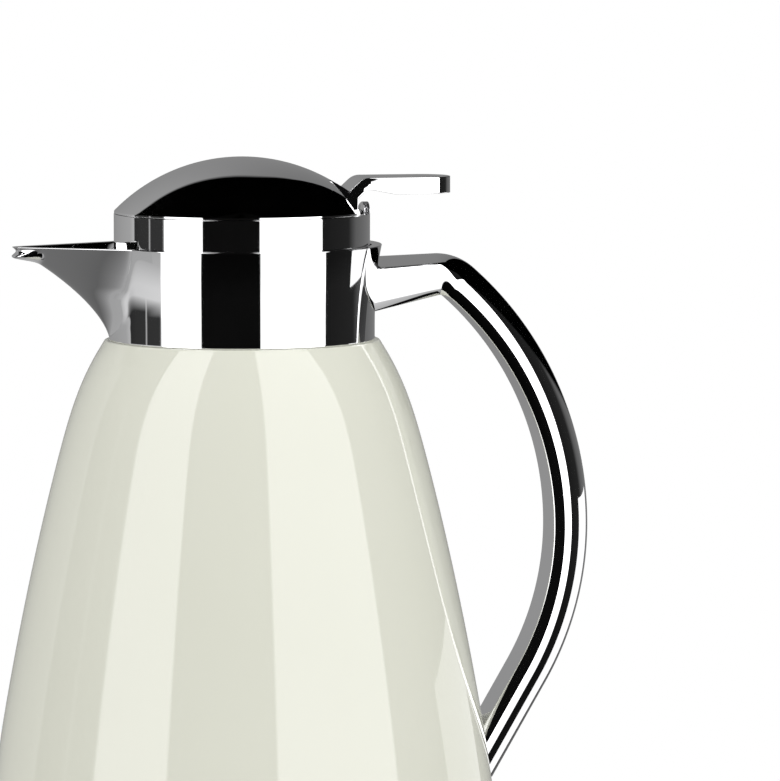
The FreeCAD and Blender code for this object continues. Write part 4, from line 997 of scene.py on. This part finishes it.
CARD_R = np.array([0.03, 0.45, 0.45])
CARD_Z = np.array([0.001, 0.001, 0.16])
CARD_X = 0.1
CARD_FROM = 94.5
CARD_TO = 133.5
CARD_STEPS = 25
CARD_LIGHT = 1.2
GROUND_Z = 0.0005
GROUND_LEFT = -0.8
GROUND_RIGHT = 0.02
GROUND_REAR = 0.8
PATCH_LEFT = -0.5
PATCH_RIGHT = -0.15
PATCH_FRONT = -0.27
GROUND_TONES = ((0.0, 0.42), (0.46, 0.40), (0.65, 0.13), (0.80, 0.20), (0.92, 0.46), (1.0, 0.50))
card_turn = np.radians(np.linspace(CARD_FROM, CARD_TO, CARD_STEPS))[:, None]
card_points = np.stack(np.broadcast_arrays(
    CARD_X + CARD_R * np.sin(card_turn), -CARD_R * np.cos(card_turn), CARD_Z,
), axis=-1).reshape(-1, 3)
card_index = np.arange(len(card_points)).reshape(CARD_STEPS, -1)
card_faces = np.stack([
    card_index[:-1, :-1], card_index[:-1, 1:], card_index[1:, 1:], card_index[1:, :-1],
], axis=-1).reshape(-1, 4)
card_mesh = bpy.data.meshes.new("white_card")
card_mesh.from_pydata(card_points.tolist(), [], card_faces.tolist())
card = bpy.data.objects.new("white_card", card_mesh)
bpy.context.scene.collection.objects.link(card)
ground_mesh = bpy.data.meshes.new("grey_ground")
ground_points = [
    (GROUND_LEFT, 0.0), (PATCH_LEFT, 0.0), (PATCH_RIGHT, 0.0), (GROUND_RIGHT, 0.0),
    (GROUND_RIGHT, GROUND_REAR), (GROUND_LEFT, GROUND_REAR),
    (PATCH_LEFT, PATCH_FRONT), (PATCH_RIGHT, PATCH_FRONT),
]
ground_faces = [[0, 1, 2, 3, 4, 5], [6, 7, 2, 1]]
ground_mesh.from_pydata([(x, y, GROUND_Z) for x, y in ground_points], [], ground_faces)
ground = bpy.data.objects.new("grey_ground", ground_mesh)
bpy.context.scene.collection.objects.link(ground)
for sheet in (card, ground):
    sheet.visible_camera = False
    sheet.visible_diffuse = False
    sheet.visible_shadow = False
white_card, _, add, link = plain_finish("white_card", 0.9)
card_light = add("ShaderNodeEmission", Strength=CARD_LIGHT)
link(card_light.outputs["Emission"], white_card.node_tree.nodes["Material Output"].inputs["Surface"])
card_mesh.materials.append(white_card)
grey_ground, _, add, link = plain_finish("grey_ground", 0.9)
place = add("ShaderNodeTexCoord")
sideways = add("ShaderNodeSeparateXYZ")
nearer = add("ShaderNodeMapRange", From_Min=GROUND_LEFT, From_Max=GROUND_RIGHT)
tone = add("ShaderNodeValToRGB")
set_stops(tone, GROUND_TONES)
ground_light = add("ShaderNodeEmission", Strength=1.0)
link(place.outputs["Object"], sideways.inputs["Vector"])
link(sideways.outputs["X"], nearer.inputs["Value"])
link(nearer.outputs["Result"], tone.inputs["Fac"])
link(tone.outputs["Color"], ground_light.inputs["Color"])
link(ground_light.outputs["Emission"], grey_ground.node_tree.nodes["Material Output"].inputs["Surface"])
ground_mesh.materials.append(grey_ground)

LAMP_PLACE = (0.25, -0.9, 1.4)
LAMP_AIM = Vector((0, 0, 0.15))
lamp = bpy.data.objects.new("overhead_softbox", bpy.data.lights.new("overhead_softbox", "AREA"))
lamp.data.shape = "RECTANGLE"
lamp.data.size, lamp.data.size_y = 1.2, 0.8
lamp.data.energy = 6.0
lamp.location = LAMP_PLACE
lamp.rotation_euler = (LAMP_AIM - lamp.location).to_track_quat("-Z", "Y").to_euler()
lamp.visible_glossy = False
bpy.context.scene.collection.objects.link(lamp)

bpy.context.scene.view_settings.view_transform = "Standard"

bpy.context.view_layer.update()
